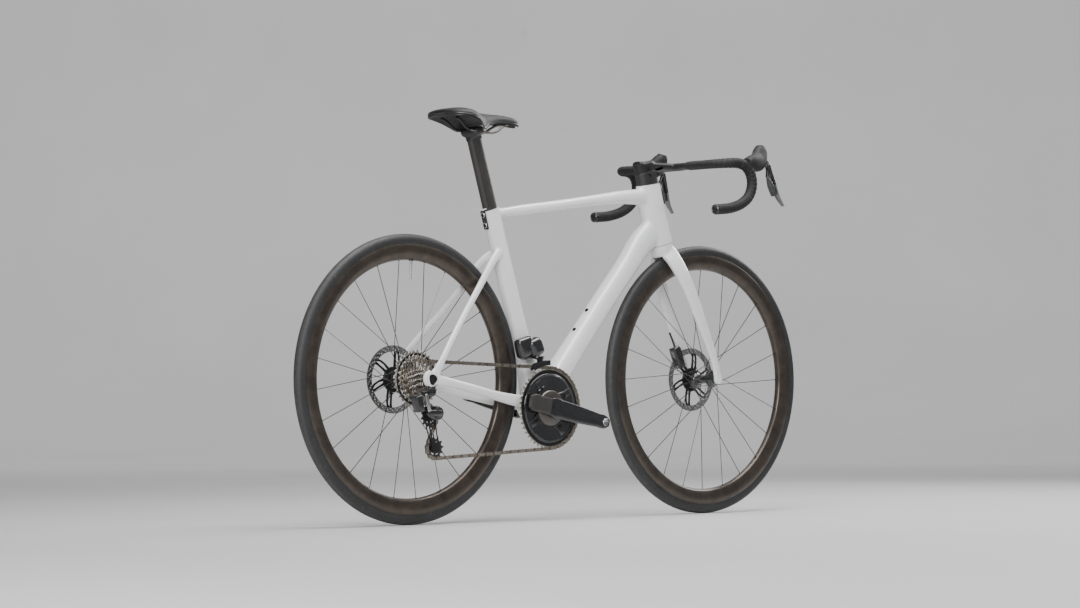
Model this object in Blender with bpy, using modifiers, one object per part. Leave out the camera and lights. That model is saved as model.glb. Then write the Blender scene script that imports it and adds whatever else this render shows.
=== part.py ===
"""A road bike with disc brakes and electronic gears, modelled at its real size.

The bike stands on its wheels: +X forward, +Z up, the drive side is -Y. Its origin is on the floor, midway
between the axles. Each physical piece is its own object, and metres are used throughout.
"""

from math import acos, atan2, ceil, copysign, cos, degrees, pi, radians, sin, tan

import bmesh
import bpy
from mathutils import Matrix, Vector

# Driving dimensions
GAP = 0.0003
WHEELBASE = 0.9858
WHEEL_RADIUS = 0.339
TYRE_WIDTH = 0.028
RIM_EDGE_RADIUS = 0.3155
RIM_DEPTH = 0.038
RIM_WIDTH = 0.029
WHEEL_STEPS = 36
SPOKES_PER_SIDE = 12
SPOKE_RADIUS = 0.001
ROTOR_RADIUS = 0.080
ROTOR_THICKNESS = 0.0018

BRACKET_X = -0.0874
BRACKET_Z = 0.2694
HEAD_ANGLE = radians(73.5)
FORK_RAKE = 0.045
SEAT_ANGLE = radians(73.0)
HEAD_TUBE_BOTTOM_Z = 0.678
HEAD_TUBE_TOP_Z = 0.834
FRONT_HUB_WIDTH = 0.100
REAR_HUB_WIDTH = 0.142
FRONT_ROTOR_Y = FRONT_HUB_WIDTH / 2 - 0.0100
REAR_ROTOR_Y = REAR_HUB_WIDTH / 2 - 0.0155
POST_HALF_WIDTH = 0.0122
POST_HALF_DEPTH = 0.0200
POST_BOTTOM_Z = 0.560
POST_TOP_Z = 0.9095
RAIL_Z = 0.9300

CHAIN_PITCH = 0.0127
CHAIN_LINE = 0.0475
RING_TEETH = 48
SMALL_RING_TEETH = 35
CASSETTE_TEETH = (10, 11, 12, 13, 14, 15, 17, 19, 21, 24, 28, 33)
GEAR_IN_USE = 8
CASSETTE_OUTER_Y = 0.0665
SPROCKET_STEP = 0.00355
GUIDE_TEETH = 12
TENSION_TEETH = 12
CRANK_LENGTH = 0.170
CRANK_DROOP = radians(12)

BAR_X = 0.387
BAR_Z = 0.874
BAR_HALF_WIDTH = 0.214
SPACER_TOP_Z = 0.8590

REAR_AXLE = Vector((-WHEELBASE / 2, 0, WHEEL_RADIUS))
FRONT_AXLE = Vector((WHEELBASE / 2, 0, WHEEL_RADIUS))
BRACKET = Vector((BRACKET_X, 0, BRACKET_Z))
STEER_DIRECTION = Vector((-cos(HEAD_ANGLE), 0, sin(HEAD_ANGLE)))
STEER_FORWARD = Vector((sin(HEAD_ANGLE), 0, cos(HEAD_ANGLE)))
SIDE = Vector((0, 1, 0))


def steer_point(z, forward=0.0, y=0.0):
    """A point at height z on the steering axis, moved forward square to it."""
    foot = FRONT_AXLE - STEER_FORWARD * FORK_RAKE
    point = foot + STEER_DIRECTION * ((z - foot.z) / STEER_DIRECTION.z)
    return point + STEER_FORWARD * forward + SIDE * y


def seat_point(z, forward=0.0, y=0.0):
    """A point at height z on the seat tube's centre line."""
    return Vector((BRACKET_X - (z - BRACKET_Z) / tan(SEAT_ANGLE) + forward, y, z))


# Scene, materials and collections


def clear_scene():
    for old in list(bpy.data.objects):
        bpy.data.objects.remove(old, do_unlink=True)


def new_collection(name):
    collection = bpy.data.collections.new(name)
    bpy.context.scene.collection.children.link(collection)
    return collection


def paint(name, colour, roughness, metallic=0.0):
    material = bpy.data.materials.new(name)
    material.use_nodes = True
    shader = material.node_tree.nodes["Principled BSDF"]
    shader.inputs["Base Color"].default_value = (*colour, 1)
    shader.inputs["Roughness"].default_value = roughness
    shader.inputs["Metallic"].default_value = metallic
    return material


clear_scene()
BIKE = new_collection("road bike")
HELPERS = new_collection("cutters and joined shapes")

WHITE = paint("pearl white paint", (0.86, 0.86, 0.84), 0.25)
CARBON = paint("satin carbon", (0.045, 0.042, 0.04), 0.42)
RIM_CARBON = paint("bronze carbon", (0.10, 0.075, 0.06), 0.38)
GLOSS = paint("gloss black", (0.02, 0.02, 0.022), 0.2)
MATT = paint("matt black", (0.03, 0.03, 0.03), 0.6)
RUBBER = paint("black rubber", (0.025, 0.025, 0.025), 0.75)
TYRE = paint("tyre rubber", (0.03, 0.03, 0.03), 0.8)
STEEL = paint("bright steel", (0.6, 0.6, 0.6), 0.3, 1.0)
DARK_STEEL = paint("black spoke steel", (0.08, 0.08, 0.08), 0.35, 0.9)
BRONZE = paint("bronze chain steel", (0.45, 0.38, 0.31), 0.35, 1.0)
ALLOY = paint("anodised black alloy", (0.04, 0.04, 0.04), 0.35, 0.6)


def add_object(name, mesh, material, helper=False):
    """Puts a mesh in the bike, or among the helpers where it is cut away or joined to something."""
    made = bpy.data.objects.new(name, mesh)
    made.data.materials.append(material)
    (HELPERS if helper else BIKE).objects.link(made)
    if helper:
        made.hide_render = True
        made.display_type = "WIRE"
    return made


def boolean(target, operation, others):
    for other in others:
        modifier = target.modifiers.new(operation.lower(), "BOOLEAN")
        modifier.operation = operation
        modifier.object = other
    return target


def smooth(made, angle=radians(35)):
    made.data.shade_smooth()
    made.data.set_sharp_from_angle(angle=angle)
    return made


# Shape tools


def mesh_from(name, work):
    bmesh.ops.recalc_face_normals(work, faces=work.faces)
    mesh = bpy.data.meshes.new(name)
    work.to_mesh(mesh)
    work.free()
    return mesh


def solid_from_curve(name, curve, material, helper=False, turn=None):
    """Makes a curve a welded mesh, so that Booleans can use it."""
    guide = bpy.data.objects.new(name + " guide", curve)
    HELPERS.objects.link(guide)
    if turn is not None:
        guide.matrix_world = turn
    bpy.context.view_layer.update()
    mesh = bpy.data.meshes.new_from_object(guide.evaluated_get(bpy.context.evaluated_depsgraph_get()))
    mesh.transform(guide.matrix_world)
    bpy.data.objects.remove(guide, do_unlink=True)
    work = bmesh.new()
    work.from_mesh(mesh)
    bmesh.ops.remove_doubles(work, verts=work.verts, dist=1e-6)
    bpy.data.meshes.remove(mesh)
    return smooth(add_object(name, mesh_from(name, work), material, helper))


def wire(name, runs, radius, material, sides=6, helper=False):
    """Round wire or hose through the points of each run."""
    curve = bpy.data.curves.new(name, "CURVE")
    curve.dimensions = "3D"
    curve.bevel_depth = radius
    curve.bevel_resolution = (sides - 4) // 2
    curve.use_fill_caps = True
    for points in runs:
        spline = curve.splines.new("POLY")
        spline.points.add(len(points) - 1)
        for point, place in zip(spline.points, points):
            point.co = (*place, 1)
    return solid_from_curve(name, curve, material, helper)


def plate(name, outlines, thickness, y, material, helper=False):
    """A flat plate square to Y, from outlines in (x, z); outlines inside others are holes."""
    curve = bpy.data.curves.new(name, "CURVE")
    curve.dimensions = "2D"
    curve.fill_mode = "BOTH"
    curve.extrude = thickness / 2
    for outline in outlines:
        spline = curve.splines.new("POLY")
        spline.use_cyclic_u = True
        spline.points.add(len(outline) - 1)
        for point, (x, z) in zip(spline.points, outline):
            point.co = (x, z, 0, 1)
    turn = Matrix.Translation((0, y, 0)) @ Matrix.Rotation(pi / 2, 4, "X")
    return solid_from_curve(name, curve, material, helper, turn)


def turned(name, profile, centre, material, steps=24, ring=False, helper=False):
    """A turned shape about the Y line through centre; profile is (radius, y) from +Y to -Y on its outside."""
    points = [(radius, 0, y) for radius, y in profile]
    edges = [(i, i + 1) for i in range(len(points) - 1)]
    if ring:
        edges.append((len(points) - 1, 0))
    mesh = bpy.data.meshes.new(name)
    mesh.from_pydata(points, edges, [])
    made = add_object(name, mesh, material, helper)
    half_step = pi / steps
    # The turn lays the profile along Y and centres one facet on the floor.
    made.matrix_world = (
        Matrix.Translation(centre)
        @ Matrix.Rotation(-pi / 2, 4, "X")
        @ Matrix.Rotation(half_step + pi / 2, 4, "Z")
    )
    screw = made.modifiers.new("turn", "SCREW")
    screw.steps = steps
    screw.render_steps = steps
    screw.use_merge_vertices = True
    screw.merge_threshold = 0.00001
    screw.use_smooth_shade = True
    return made


def cylinder(name, centre, radius, length, material, steps=20, helper=False, axis=SIDE):
    """A round bar centred on a point, along an axis."""
    mesh = bpy.data.meshes.new(name)
    work = bmesh.new()
    turn = Matrix.Translation(centre) @ Vector(axis).to_track_quat("Z", "Y").to_matrix().to_4x4()
    bmesh.ops.create_cone(
        work, cap_ends=True, segments=steps, radius1=radius, radius2=radius, depth=length, matrix=turn
    )
    work.to_mesh(mesh)
    work.free()
    return smooth(add_object(name, mesh, material, helper))


def box(name, centre, size, material, tilt=0.0, bevel=0.0, helper=False):
    """A block centred on a point, tilted about Y, with rounded edges."""
    work = bmesh.new()
    turn = Matrix.Translation(centre) @ Matrix.Rotation(tilt, 4, "Y") @ Matrix.Diagonal((*size, 1))
    bmesh.ops.create_cube(work, size=1, matrix=turn)
    if bevel:
        bmesh.ops.bevel(
            work, geom=work.edges[:], offset=bevel, segments=1, affect="EDGES", profile=0.5
        )
    return add_object(name, mesh_from(name, work), material, helper)


def squircle(angle, power):
    """A point on a rounded square: a power of 2 gives a circle, and more gives squarer sides."""
    across, up = cos(angle), sin(angle)
    return copysign(abs(across) ** (2 / power), across), copysign(abs(up) ** (2 / power), up)


def section_rings(work, stations, sides, power, across, grow=0.0, carried=False):
    """Rings of vertices round stations of (x, y, z, half width along across, half depth)."""
    centres = [Vector(row[:3]) for row in stations]
    rings = []
    width = Vector(across)
    for i, row in enumerate(stations):
        along = (centres[min(i + 1, len(stations) - 1)] - centres[max(i - 1, 0)]).normalized()
        before = width if carried else Vector(across)
        width = (before - along * along.dot(before)).normalized()
        depth = along.cross(width)
        ring = []
        for k in range(sides):
            u, v = squircle(2 * pi * (k + 0.5) / sides, power)
            offset = width * (u * (row[3] + grow)) + depth * (v * (row[4] + grow))
            ring.append(work.verts.new(centres[i] + offset))
        rings.append(ring)
    return rings


def join_rings(work, rings):
    for first, second in zip(rings, rings[1:]):
        for k in range(len(first)):
            following = (k + 1) % len(first)
            work.faces.new((first[k], first[following], second[following], second[k]))


def loft(name, stations, material, sides=16, power=2.6, helper=False, across=SIDE, carried=False):
    """A closed form through the stations; a carried section keeps its turn round sharp bends."""
    work = bmesh.new()
    rings = section_rings(work, stations, sides, power, across, carried=carried)
    join_rings(work, rings)
    work.faces.new(rings[0])
    work.faces.new(list(reversed(rings[-1])))
    return smooth(add_object(name, mesh_from(name, work), material, helper))


def sleeve(name, stations, inner_grow, outer_grow, material, sides, power, across=SIDE):
    """A tube with a wall round the stations' sections, open at both ends."""
    work = bmesh.new()
    outer = section_rings(work, stations, sides, power, across, outer_grow, carried=True)
    inner = section_rings(work, stations, sides, power, across, inner_grow, carried=True)
    join_rings(work, outer + list(reversed(inner)) + [outer[0]])
    return smooth(add_object(name, mesh_from(name, work), material))


def circle(centre_x, centre_z, radius, count, start=0.0):
    angles = [start + 2 * pi * k / count for k in range(count)]
    return [(centre_x + radius * cos(angle), centre_z + radius * sin(angle)) for angle in angles]


def pitch_radius(teeth):
    return CHAIN_PITCH / (2 * sin(pi / teeth))


def teeth_outline(centre, teeth, phase):
    """A valley at each roller and a tip between rollers."""
    radius = pitch_radius(teeth)
    outline = []
    for k in range(teeth):
        valley = phase + 2 * pi * k / teeth
        tip = valley + pi / teeth
        for angle, reach in ((valley, radius - 0.0039), (tip, radius + 0.0026)):
            outline.append((centre.x + reach * cos(angle), centre.z + reach * sin(angle)))
    return outline


# Chain route


def tangent(first, first_turn, second, second_turn):
    """The straight run between two wheels in the XZ plane, as its end points; a turn is the signed radius."""
    gap = Vector((second[0] - first[0], second[1] - first[1]))
    angle = atan2(gap.y, gap.x) + acos((second_turn - first_turn) / gap.length)
    normal = Vector((cos(angle), sin(angle)))
    start = Vector(first) - normal * first_turn
    end = Vector(second) - normal * second_turn
    return start, end


KNUCKLE = Vector((-0.464, 0, 0.260))
GUIDE_FROM_KNUCKLE = Vector((0.002, 0, -0.008))
CAGE_LENGTH = 0.0835
GEAR_Y = -(CASSETTE_OUTER_Y - GEAR_IN_USE * SPROCKET_STEP)
CHAIN_WHEELS = ("ring", "sprocket", "guide", "tension")
TURNS = {
    "ring": pitch_radius(RING_TEETH),
    "sprocket": pitch_radius(CASSETTE_TEETH[GEAR_IN_USE]),
    "guide": -pitch_radius(GUIDE_TEETH),
    "tension": pitch_radius(TENSION_TEETH),
}
TOOTH_COUNTS = {
    "ring": RING_TEETH,
    "sprocket": CASSETTE_TEETH[GEAR_IN_USE],
    "guide": GUIDE_TEETH,
    "tension": TENSION_TEETH,
}


def wheel_centres(cage_angle):
    """Each chain wheel's centre in (x, z), with the cage hanging at an angle forward of straight down."""
    guide = KNUCKLE + GUIDE_FROM_KNUCKLE
    tension = KNUCKLE + Vector((sin(cage_angle), 0, -cos(cage_angle))) * CAGE_LENGTH
    return {
        "ring": (BRACKET.x, BRACKET.z),
        "sprocket": (REAR_AXLE.x, REAR_AXLE.z),
        "guide": (guide.x, guide.z),
        "tension": (tension.x, tension.z),
    }


def chain_runs(cage_angle):
    """The straight runs in order, each from one wheel to the next, in the way the chain moves."""
    centres = wheel_centres(cage_angle)
    runs = []
    for i, name in enumerate(CHAIN_WHEELS):
        following = CHAIN_WHEELS[(i + 1) % 4]
        runs.append(tangent(centres[name], TURNS[name], centres[following], TURNS[following]))
    return runs


def wrap_angles(cage_angle):
    """For each wheel, the angle where the chain meets it and how far it wraps, signed."""
    centres = wheel_centres(cage_angle)
    runs = chain_runs(cage_angle)
    wraps = {}
    for i, name in enumerate(CHAIN_WHEELS):
        centre = Vector(centres[name])
        arrive = runs[i - 1][1] - centre
        leave = runs[i][0] - centre
        start = atan2(arrive.y, arrive.x)
        turn = atan2(leave.y, leave.x) - start
        if TURNS[name] > 0:
            turn %= 2 * pi
        else:
            turn = -((-turn) % (2 * pi))
        wraps[name] = (start, turn)
    return wraps


def chain_links(cage_angle):
    """How many pitches the whole route takes."""
    total = sum((end - start).length / CHAIN_PITCH for start, end in chain_runs(cage_angle))
    for name, (_, turn) in wrap_angles(cage_angle).items():
        total += abs(turn) * TOOTH_COUNTS[name] / (2 * pi)
    return total


def settle_cage():
    """Swings the cage until the chain holds a whole, even number of links."""
    wanted = 2 * round(chain_links(radians(12)) / 2)
    low, high = radians(-15), radians(35)
    rising = chain_links(high) > chain_links(low)
    for _ in range(60):
        middle = (low + high) / 2
        if (chain_links(middle) > wanted) == rising:
            high = middle
        else:
            low = middle
    return (low + high) / 2, wanted


CAGE_ANGLE, LINKS = settle_cage()
CENTRES = {name: Vector((x, 0, z)) for name, (x, z) in wheel_centres(CAGE_ANGLE).items()}


def chain_points():
    """Each pin's place as (x, y, z), and the phase of the teeth on each wheel."""
    runs = chain_runs(CAGE_ANGLE)
    wraps = wrap_angles(CAGE_ANGLE)
    wheel_y = {"ring": -CHAIN_LINE, "sprocket": GEAR_Y, "guide": GEAR_Y, "tension": GEAR_Y}
    pieces = []
    for i, name in enumerate(CHAIN_WHEELS):
        start, turn = wraps[name]
        pieces.append(("wrap", name, abs(turn) * TOOTH_COUNTS[name] / (2 * pi)))
        run_start, run_end = runs[i]
        pieces.append(("run", i, (run_end - run_start).length / CHAIN_PITCH))
    points = []
    phases = {}
    walked = 0.0
    for kind, which, length in pieces:
        first = ceil(walked - 1e-9)
        last = ceil(walked + length - 1e-9)
        for pin in range(first, last):
            along = pin - walked
            if kind == "wrap":
                start, turn = wraps[which]
                angle = start + along * 2 * pi / TOOTH_COUNTS[which] * (1 if turn > 0 else -1)
                phases.setdefault(which, angle)
                reach = Vector((cos(angle), 0, sin(angle))) * abs(TURNS[which])
                points.append(CENTRES[which] + reach + SIDE * wheel_y[which])
            else:
                run_start, run_end = runs[which]
                place = run_start.lerp(run_end, along / length)
                share = min(max((along - 2) / max(length - 4, 1), 0), 1)
                from_y = wheel_y[CHAIN_WHEELS[which]]
                to_y = wheel_y[CHAIN_WHEELS[(which + 1) % 4]]
                points.append(Vector((place.x, from_y * (1 - share) + to_y * share, place.y)))
        walked += length
    return points[:LINKS], phases


PINS, PHASES = chain_points()
PLATE_HALF_HEIGHT = 0.0039
PLATE_INNER = 0.0014
PLATE_OUTER = 0.0022


def on_straight(i):
    """Whether a pin is in line with the pins on both sides of it."""
    following = PINS[(i + 1) % len(PINS)] - PINS[i]
    return (following - (PINS[i] - PINS[i - 1])).length < 0.0001


def chain():
    """Two rows of side plates, joined by a roller at every second pin."""
    work = bmesh.new()
    count = len(PINS)
    for side in (-1, 1):
        rings = []
        for i, pin in enumerate(PINS):
            along = PINS[(i + 1) % count] - PINS[i - 1]
            if on_straight(i):
                continue
            normal = Vector((-along.z, 0, along.x)).normalized() * PLATE_HALF_HEIGHT
            inner = SIDE * (side * PLATE_INNER)
            outer = SIDE * (side * PLATE_OUTER)
            corners = (pin + normal + inner, pin + normal + outer, pin - normal + outer, pin - normal + inner)
            rings.append([work.verts.new(corner) for corner in corners])
        for first, second in zip(rings, rings[1:] + rings[:1]):
            for k in range(4):
                work.faces.new((first[k], first[(k + 1) % 4], second[(k + 1) % 4], second[k]))
    rails = add_object("chain", mesh_from("chain", work), BRONZE)
    work = bmesh.new()
    length = PLATE_INNER + PLATE_OUTER
    for i, pin in enumerate(PINS):
        if i % 2:
            continue
        along = PINS[(i + 1) % count] - PINS[i - 1]
        lean = atan2(along.z, along.x)
        turn = Matrix.Translation(pin) @ Matrix.Rotation(-lean, 4, "Y") @ Matrix.Rotation(pi / 2, 4, "X")
        bmesh.ops.create_cone(
            work, cap_ends=True, segments=4, radius1=0.0025, radius2=0.0025, depth=length, matrix=turn
        )
    rollers = add_object("chain rollers", mesh_from("chain rollers", work), BRONZE, helper=True)
    return boolean(rails, "UNION", [rollers])


# Wheels


def tyre(name, axle):
    """The tyre's hollow section, open to the rim, with a small flat on the tread."""
    outer = WHEEL_RADIUS / cos(pi / WHEEL_STEPS)
    half = TYRE_WIDTH / 2
    wall = 0.0025
    crown = [(0, 0.0045), (0.0030, 0.0105), (0.0095, 0.0140), (0.0220, 0.0125)]
    outside = [(outer - drop, y) for drop, y in reversed(crown)]
    outside += [(outer - drop, -y) for drop, y in crown]
    edge = half - 2 * wall
    inside = [(RIM_EDGE_RADIUS + 0.0012, -edge), (outer - 0.0055, 0), (RIM_EDGE_RADIUS + 0.0012, edge)]
    return turned(name, outside + inside, axle, TYRE, WHEEL_STEPS, ring=True)


def rim(name, axle):
    """The deep carbon rim, solid across its section, with hooks outside the tyre's beads."""
    half = RIM_WIDTH / 2
    inner = RIM_EDGE_RADIUS - RIM_DEPTH
    profile = [
        (RIM_EDGE_RADIUS - 0.0012, half - 0.0012),
        (RIM_EDGE_RADIUS - 0.0012, -half + 0.0012),
        (RIM_EDGE_RADIUS - 0.014, -half),
        (inner, -0.0050),
        (inner, 0.0050),
        (RIM_EDGE_RADIUS - 0.014, half),
    ]
    return turned(name, profile, axle, RIM_CARBON, WHEEL_STEPS, ring=True)


def spokes(name, axle, flange_radius, flange_y, first_angle):
    """One side's spokes, which touch where they cross."""
    rim_reach = (RIM_EDGE_RADIUS - RIM_DEPTH) * cos(pi / WHEEL_STEPS) - GAP * 2
    step = 2 * pi / SPOKES_PER_SIDE
    sets = []
    for way in (-1, 1):
        work = bmesh.new()
        for k in range(SPOKES_PER_SIDE // 2):
            rim_angle = first_angle + 2 * k * step + (step if way > 0 else 0)
            hub_angle = rim_angle + way * radians(52)
            inner = Vector((cos(hub_angle), 0, sin(hub_angle))) * (flange_radius + 0.0014)
            outer = Vector((cos(rim_angle), 0, sin(rim_angle))) * rim_reach
            start = axle + inner + SIDE * flange_y
            end = axle + outer + SIDE * (flange_y * 0.1)
            run = end - start
            turn = Matrix.Translation((start + end) / 2) @ run.to_track_quat("Z", "Y").to_matrix().to_4x4()
            bmesh.ops.create_cone(
                work,
                cap_ends=True,
                segments=3,
                radius1=SPOKE_RADIUS,
                radius2=SPOKE_RADIUS,
                depth=run.length,
                matrix=turn,
            )
        set_name = name if way < 0 else name + " crossing"
        sets.append(add_object(set_name, mesh_from(set_name, work), DARK_STEEL, way > 0))
    return boolean(sets[0], "UNION", [sets[1]])


def rotor(name, axle, y):
    """The ventilated brake disc: a braking ring on six arms."""
    windows = []
    count = 6
    for k in range(count):
        middle = 2 * pi * k / count
        window = []
        for radius, reach in ((0.064, 0.38), (0.030, 0.30)):
            angles = [middle + reach * (j - 1) for j in range(3)]
            if radius < 0.05:
                angles.reverse()
            window += [(axle.x + radius * cos(a), axle.z + radius * sin(a)) for a in angles]
        windows.append(window)
    outlines = [circle(axle.x, axle.z, ROTOR_RADIUS, 30), circle(axle.x, axle.z, 0.0172, 10)]
    return plate(name, outlines + windows, ROTOR_THICKNESS, y, STEEL)


def hub(name, axle, half, right_flange, left_flange, right_radius, rotor_y, free_body=None):
    """The hub shell with both spoke flanges, its rotor seat and axle ends."""
    end = half - 0.0015
    profile = [(0.0075, end), (0.0095, end), (0.0095, rotor_y + 0.004), (0.0165, rotor_y + 0.004)]
    profile += [(0.0165, left_flange + 0.004), (0.0215, left_flange + 0.003), (0.0215, left_flange - 0.003)]
    profile += [(0.0130, left_flange - 0.008), (0.0130, right_flange + 0.008)]
    profile += [(right_radius, right_flange + 0.003), (right_radius, right_flange - 0.003)]
    if free_body:
        profile += [(0.0120, right_flange - 0.004), (0.0120, free_body)]
    else:
        profile += [(0.0125, right_flange - 0.006)]
    profile += [(0.0095, -end), (0.0075, -end)]
    return turned(name, profile, axle, ALLOY, 12, ring=True)


def wheels():
    tyre("front_tyre", FRONT_AXLE)
    rim("front_rim", FRONT_AXLE)
    hub("front_hub", FRONT_AXLE, FRONT_HUB_WIDTH / 2, -0.0340, 0.0220, 0.0190, FRONT_ROTOR_Y - 0.005)
    spokes("front_spokes_left", FRONT_AXLE, 0.0215, 0.0220, 0.0)
    spokes("front_spokes_right", FRONT_AXLE, 0.0190, -0.0340, radians(14.2))
    rotor("front_disc_rotor", FRONT_AXLE, FRONT_ROTOR_Y)
    tyre("rear_tyre", REAR_AXLE)
    rim("rear_rim", REAR_AXLE)
    hub("rear_hub", REAR_AXLE, REAR_HUB_WIDTH / 2, -0.0190, 0.0340, 0.0240, REAR_ROTOR_Y - 0.005, -0.0640)
    spokes("rear_spokes_left", REAR_AXLE, 0.0215, 0.0340, radians(5))
    spokes("rear_spokes_right", REAR_AXLE, 0.0240, -0.0190, radians(20))
    rotor("rear_disc_rotor", REAR_AXLE, REAR_ROTOR_Y)
    for name, axle, width in (("front", FRONT_AXLE, FRONT_HUB_WIDTH), ("rear", REAR_AXLE, REAR_HUB_WIDTH)):
        cylinder(name + "_thru_axle", axle, 0.006, width + 0.017, ALLOY, 12)


# Frame

DOWN_TUBE_TOP = (0.298, 0, 0.706)


def frame_tubes():
    """The monocoque's tubes and stays, as shapes that overlap where they meet."""
    seat = [
        (*seat_point(0.262), 0.036, 0.026),
        (*seat_point(0.300), 0.033, 0.0265),
        (*seat_point(0.345), 0.024, 0.026),
        (*seat_point(0.430, 0.002), 0.0185, 0.0235),
        (*seat_point(0.560), 0.0165, 0.0240),
        (*seat_point(0.660), 0.0165, 0.0240),
        (*seat_point(0.7445, 0.0010), 0.0165, 0.0235),
    ]
    down = [
        (BRACKET_X - 0.008, 0, BRACKET_Z - 0.008, 0.036, 0.030),
        (-0.050, 0, 0.3135, 0.032, 0.030),
        (0.010, 0, 0.382, 0.0265, 0.0275),
        (0.1452, 0, 0.5345, 0.0235, 0.0265),
        (0.230, 0, 0.628, 0.0240, 0.0275),
        (0.278, 0, 0.6830, 0.0255, 0.0325),
        (*steer_point(0.722), 0.0255, 0.0360),
    ]
    top = [
        (-0.2230, 0, 0.7330, 0.0150, 0.0090),
        (-0.1845, 0, 0.7400, 0.0155, 0.0100),
        (-0.0022, 0, 0.7640, 0.0175, 0.0125),
        (0.1343, 0, 0.7820, 0.0185, 0.0145),
        (0.2280, 0, 0.7925, 0.0205, 0.0180),
        (*steer_point(0.795), 0.0235, 0.022),
    ]
    head = [
        (*steer_point(HEAD_TUBE_BOTTOM_Z + 0.0005), 0.0275, 0.0320),
        (*steer_point(0.705, -0.002), 0.0270, 0.0345),
        (*steer_point(0.745, -0.005), 0.0250, 0.0375),
        (*steer_point(0.790, -0.004), 0.0245, 0.0385),
        (*steer_point(HEAD_TUBE_TOP_Z), 0.0245, 0.0385),
    ]
    shapes = [
        loft("seat tube", seat, WHITE, 16, 2.4, True),
        loft("top tube", top, WHITE, 16, 3.0, True),
        loft("head tube", head, WHITE, 16, 2.2, True),
        cylinder("bracket shell", BRACKET, 0.0245, 0.0855, WHITE, 24, True),
    ]
    for side in (-1, 1):
        chain_stay = [
            (-0.0874, side * 0.018, 0.280, 0.016, 0.019),
            (-0.135, side * 0.0275, 0.2835, 0.0095, 0.017),
            (-0.190, side * 0.0315, 0.2895, 0.0080, 0.0145),
            (-0.255, side * 0.040, 0.3000, 0.0085, 0.0120),
            (-0.330, side * 0.054, 0.3140, 0.0085, 0.0110),
            (-0.405, side * 0.0675, 0.3265, 0.0085, 0.0110),
            (-0.455, side * 0.0765, 0.3345, 0.0055, 0.0120),
            (-0.4929, side * 0.0765, 0.3400, 0.0042, 0.0130),
        ]
        seat_stay = [
            (-0.1820, side * 0.006, 0.6440, 0.0060, 0.0150),
            (-0.2180, side * 0.0140, 0.6380, 0.0075, 0.0120),
            (-0.2420, side * 0.0210, 0.6210, 0.0070, 0.0100),
            (-0.2860, side * 0.0290, 0.5700, 0.0065, 0.0090),
            (-0.3560, side * 0.0460, 0.4930, 0.0060, 0.0085),
            (-0.4230, side * 0.0665, 0.4200, 0.0060, 0.0085),
            (-0.4590, side * 0.0765, 0.3760, 0.0050, 0.0095),
            (-0.4820, side * 0.0765, 0.3420, 0.0040, 0.0140),
        ]
        shapes.append(loft("chain stay", chain_stay, WHITE, 10, 2.6, True))
        shapes.append(loft("seat stay", seat_stay, WHITE, 10, 2.4, True))
        dropout = REAR_AXLE + SIDE * (side * 0.0765)
        shapes.append(cylinder("rear dropout", dropout, 0.0185, 0.0098, WHITE, 16, True))
    return loft("frame", down, WHITE, 16, 3.0), shapes


def frame():
    made, shapes = frame_tubes()
    made = boolean(made, "UNION", shapes)
    crown_room = steer_point(HEAD_TUBE_BOTTOM_Z - 0.020)
    spacer_room = steer_point(HEAD_TUBE_TOP_Z + 0.020)
    cutters = [
        cylinder("wheel room", REAR_AXLE, WHEEL_RADIUS + 0.0065, 0.037, WHITE, 32, True),
        cylinder("bracket bore", BRACKET, 0.0205, 0.12, WHITE, 20, True),
        cylinder("rear axle bore", REAR_AXLE, 0.0065, 0.20, WHITE, 12, True),
        cylinder("steerer bore", steer_point(0.76), 0.0225, 0.26, WHITE, 16, True, STEER_DIRECTION),
        cylinder("crown room", crown_room, 0.050, 0.0417, WHITE, 20, True, STEER_DIRECTION),
        cylinder("spacer room", spacer_room, 0.050, 0.0417, WHITE, 20, True, STEER_DIRECTION),
        loft("seatpost bore", post_stations(0.520, 0.80, GAP), WHITE, 16, 2.4, True),
    ]
    return boolean(made, "DIFFERENCE", cutters)


def post_stations(bottom, top, grow=0.0):
    return [(*seat_point(z, 0.0003), POST_HALF_WIDTH + grow, POST_HALF_DEPTH + grow) for z in (bottom, top)]


def frame_fittings():
    hanger = [
        (REAR_AXLE.x + 0.0190 * cos(radians(angle)), REAR_AXLE.z + 0.0190 * sin(radians(angle)))
        for angle in (292, 276, 260, 244, 228)
    ]
    hanger += [(-0.5120, 0.3120), (-0.5090, 0.3000), (-0.5000, 0.2960), (-0.4915, 0.3000), (-0.4860, 0.3100)]
    plate("derailleur_hanger", [hanger], 0.0070, -0.0770, ALLOY)
    box("seat_clamp_wedge", seat_point(0.7200, -0.0275), (0.0045, 0.014, 0.0500), MATT, radians(-17), 0.001)
    for name, side in (("left", 1), ("right", -1)):
        cup = [(0.0232, side * 0.0480), (0.0232, side * (0.04275 + GAP))]
        cup += [(0.0202, side * (0.04275 + GAP)), (0.0202, side * 0.026)]
        cup += [(0.0152, side * 0.026), (0.0152, side * 0.0480)]
        if side < 0:
            cup.reverse()
        turned("bottom_bracket_cup_" + name, cup, BRACKET, ALLOY, 12, ring=True)


def bearing(name, z, outer):
    """A headset bearing round the steerer."""
    made = cylinder(name, steer_point(z), outer, 0.008, STEEL, 16, axis=STEER_DIRECTION)
    hole = cylinder(name + " hole", steer_point(z), 0.0162, 0.02, STEEL, 16, True, STEER_DIRECTION)
    return boolean(made, "DIFFERENCE", [hole])


# Fork and steering


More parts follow.
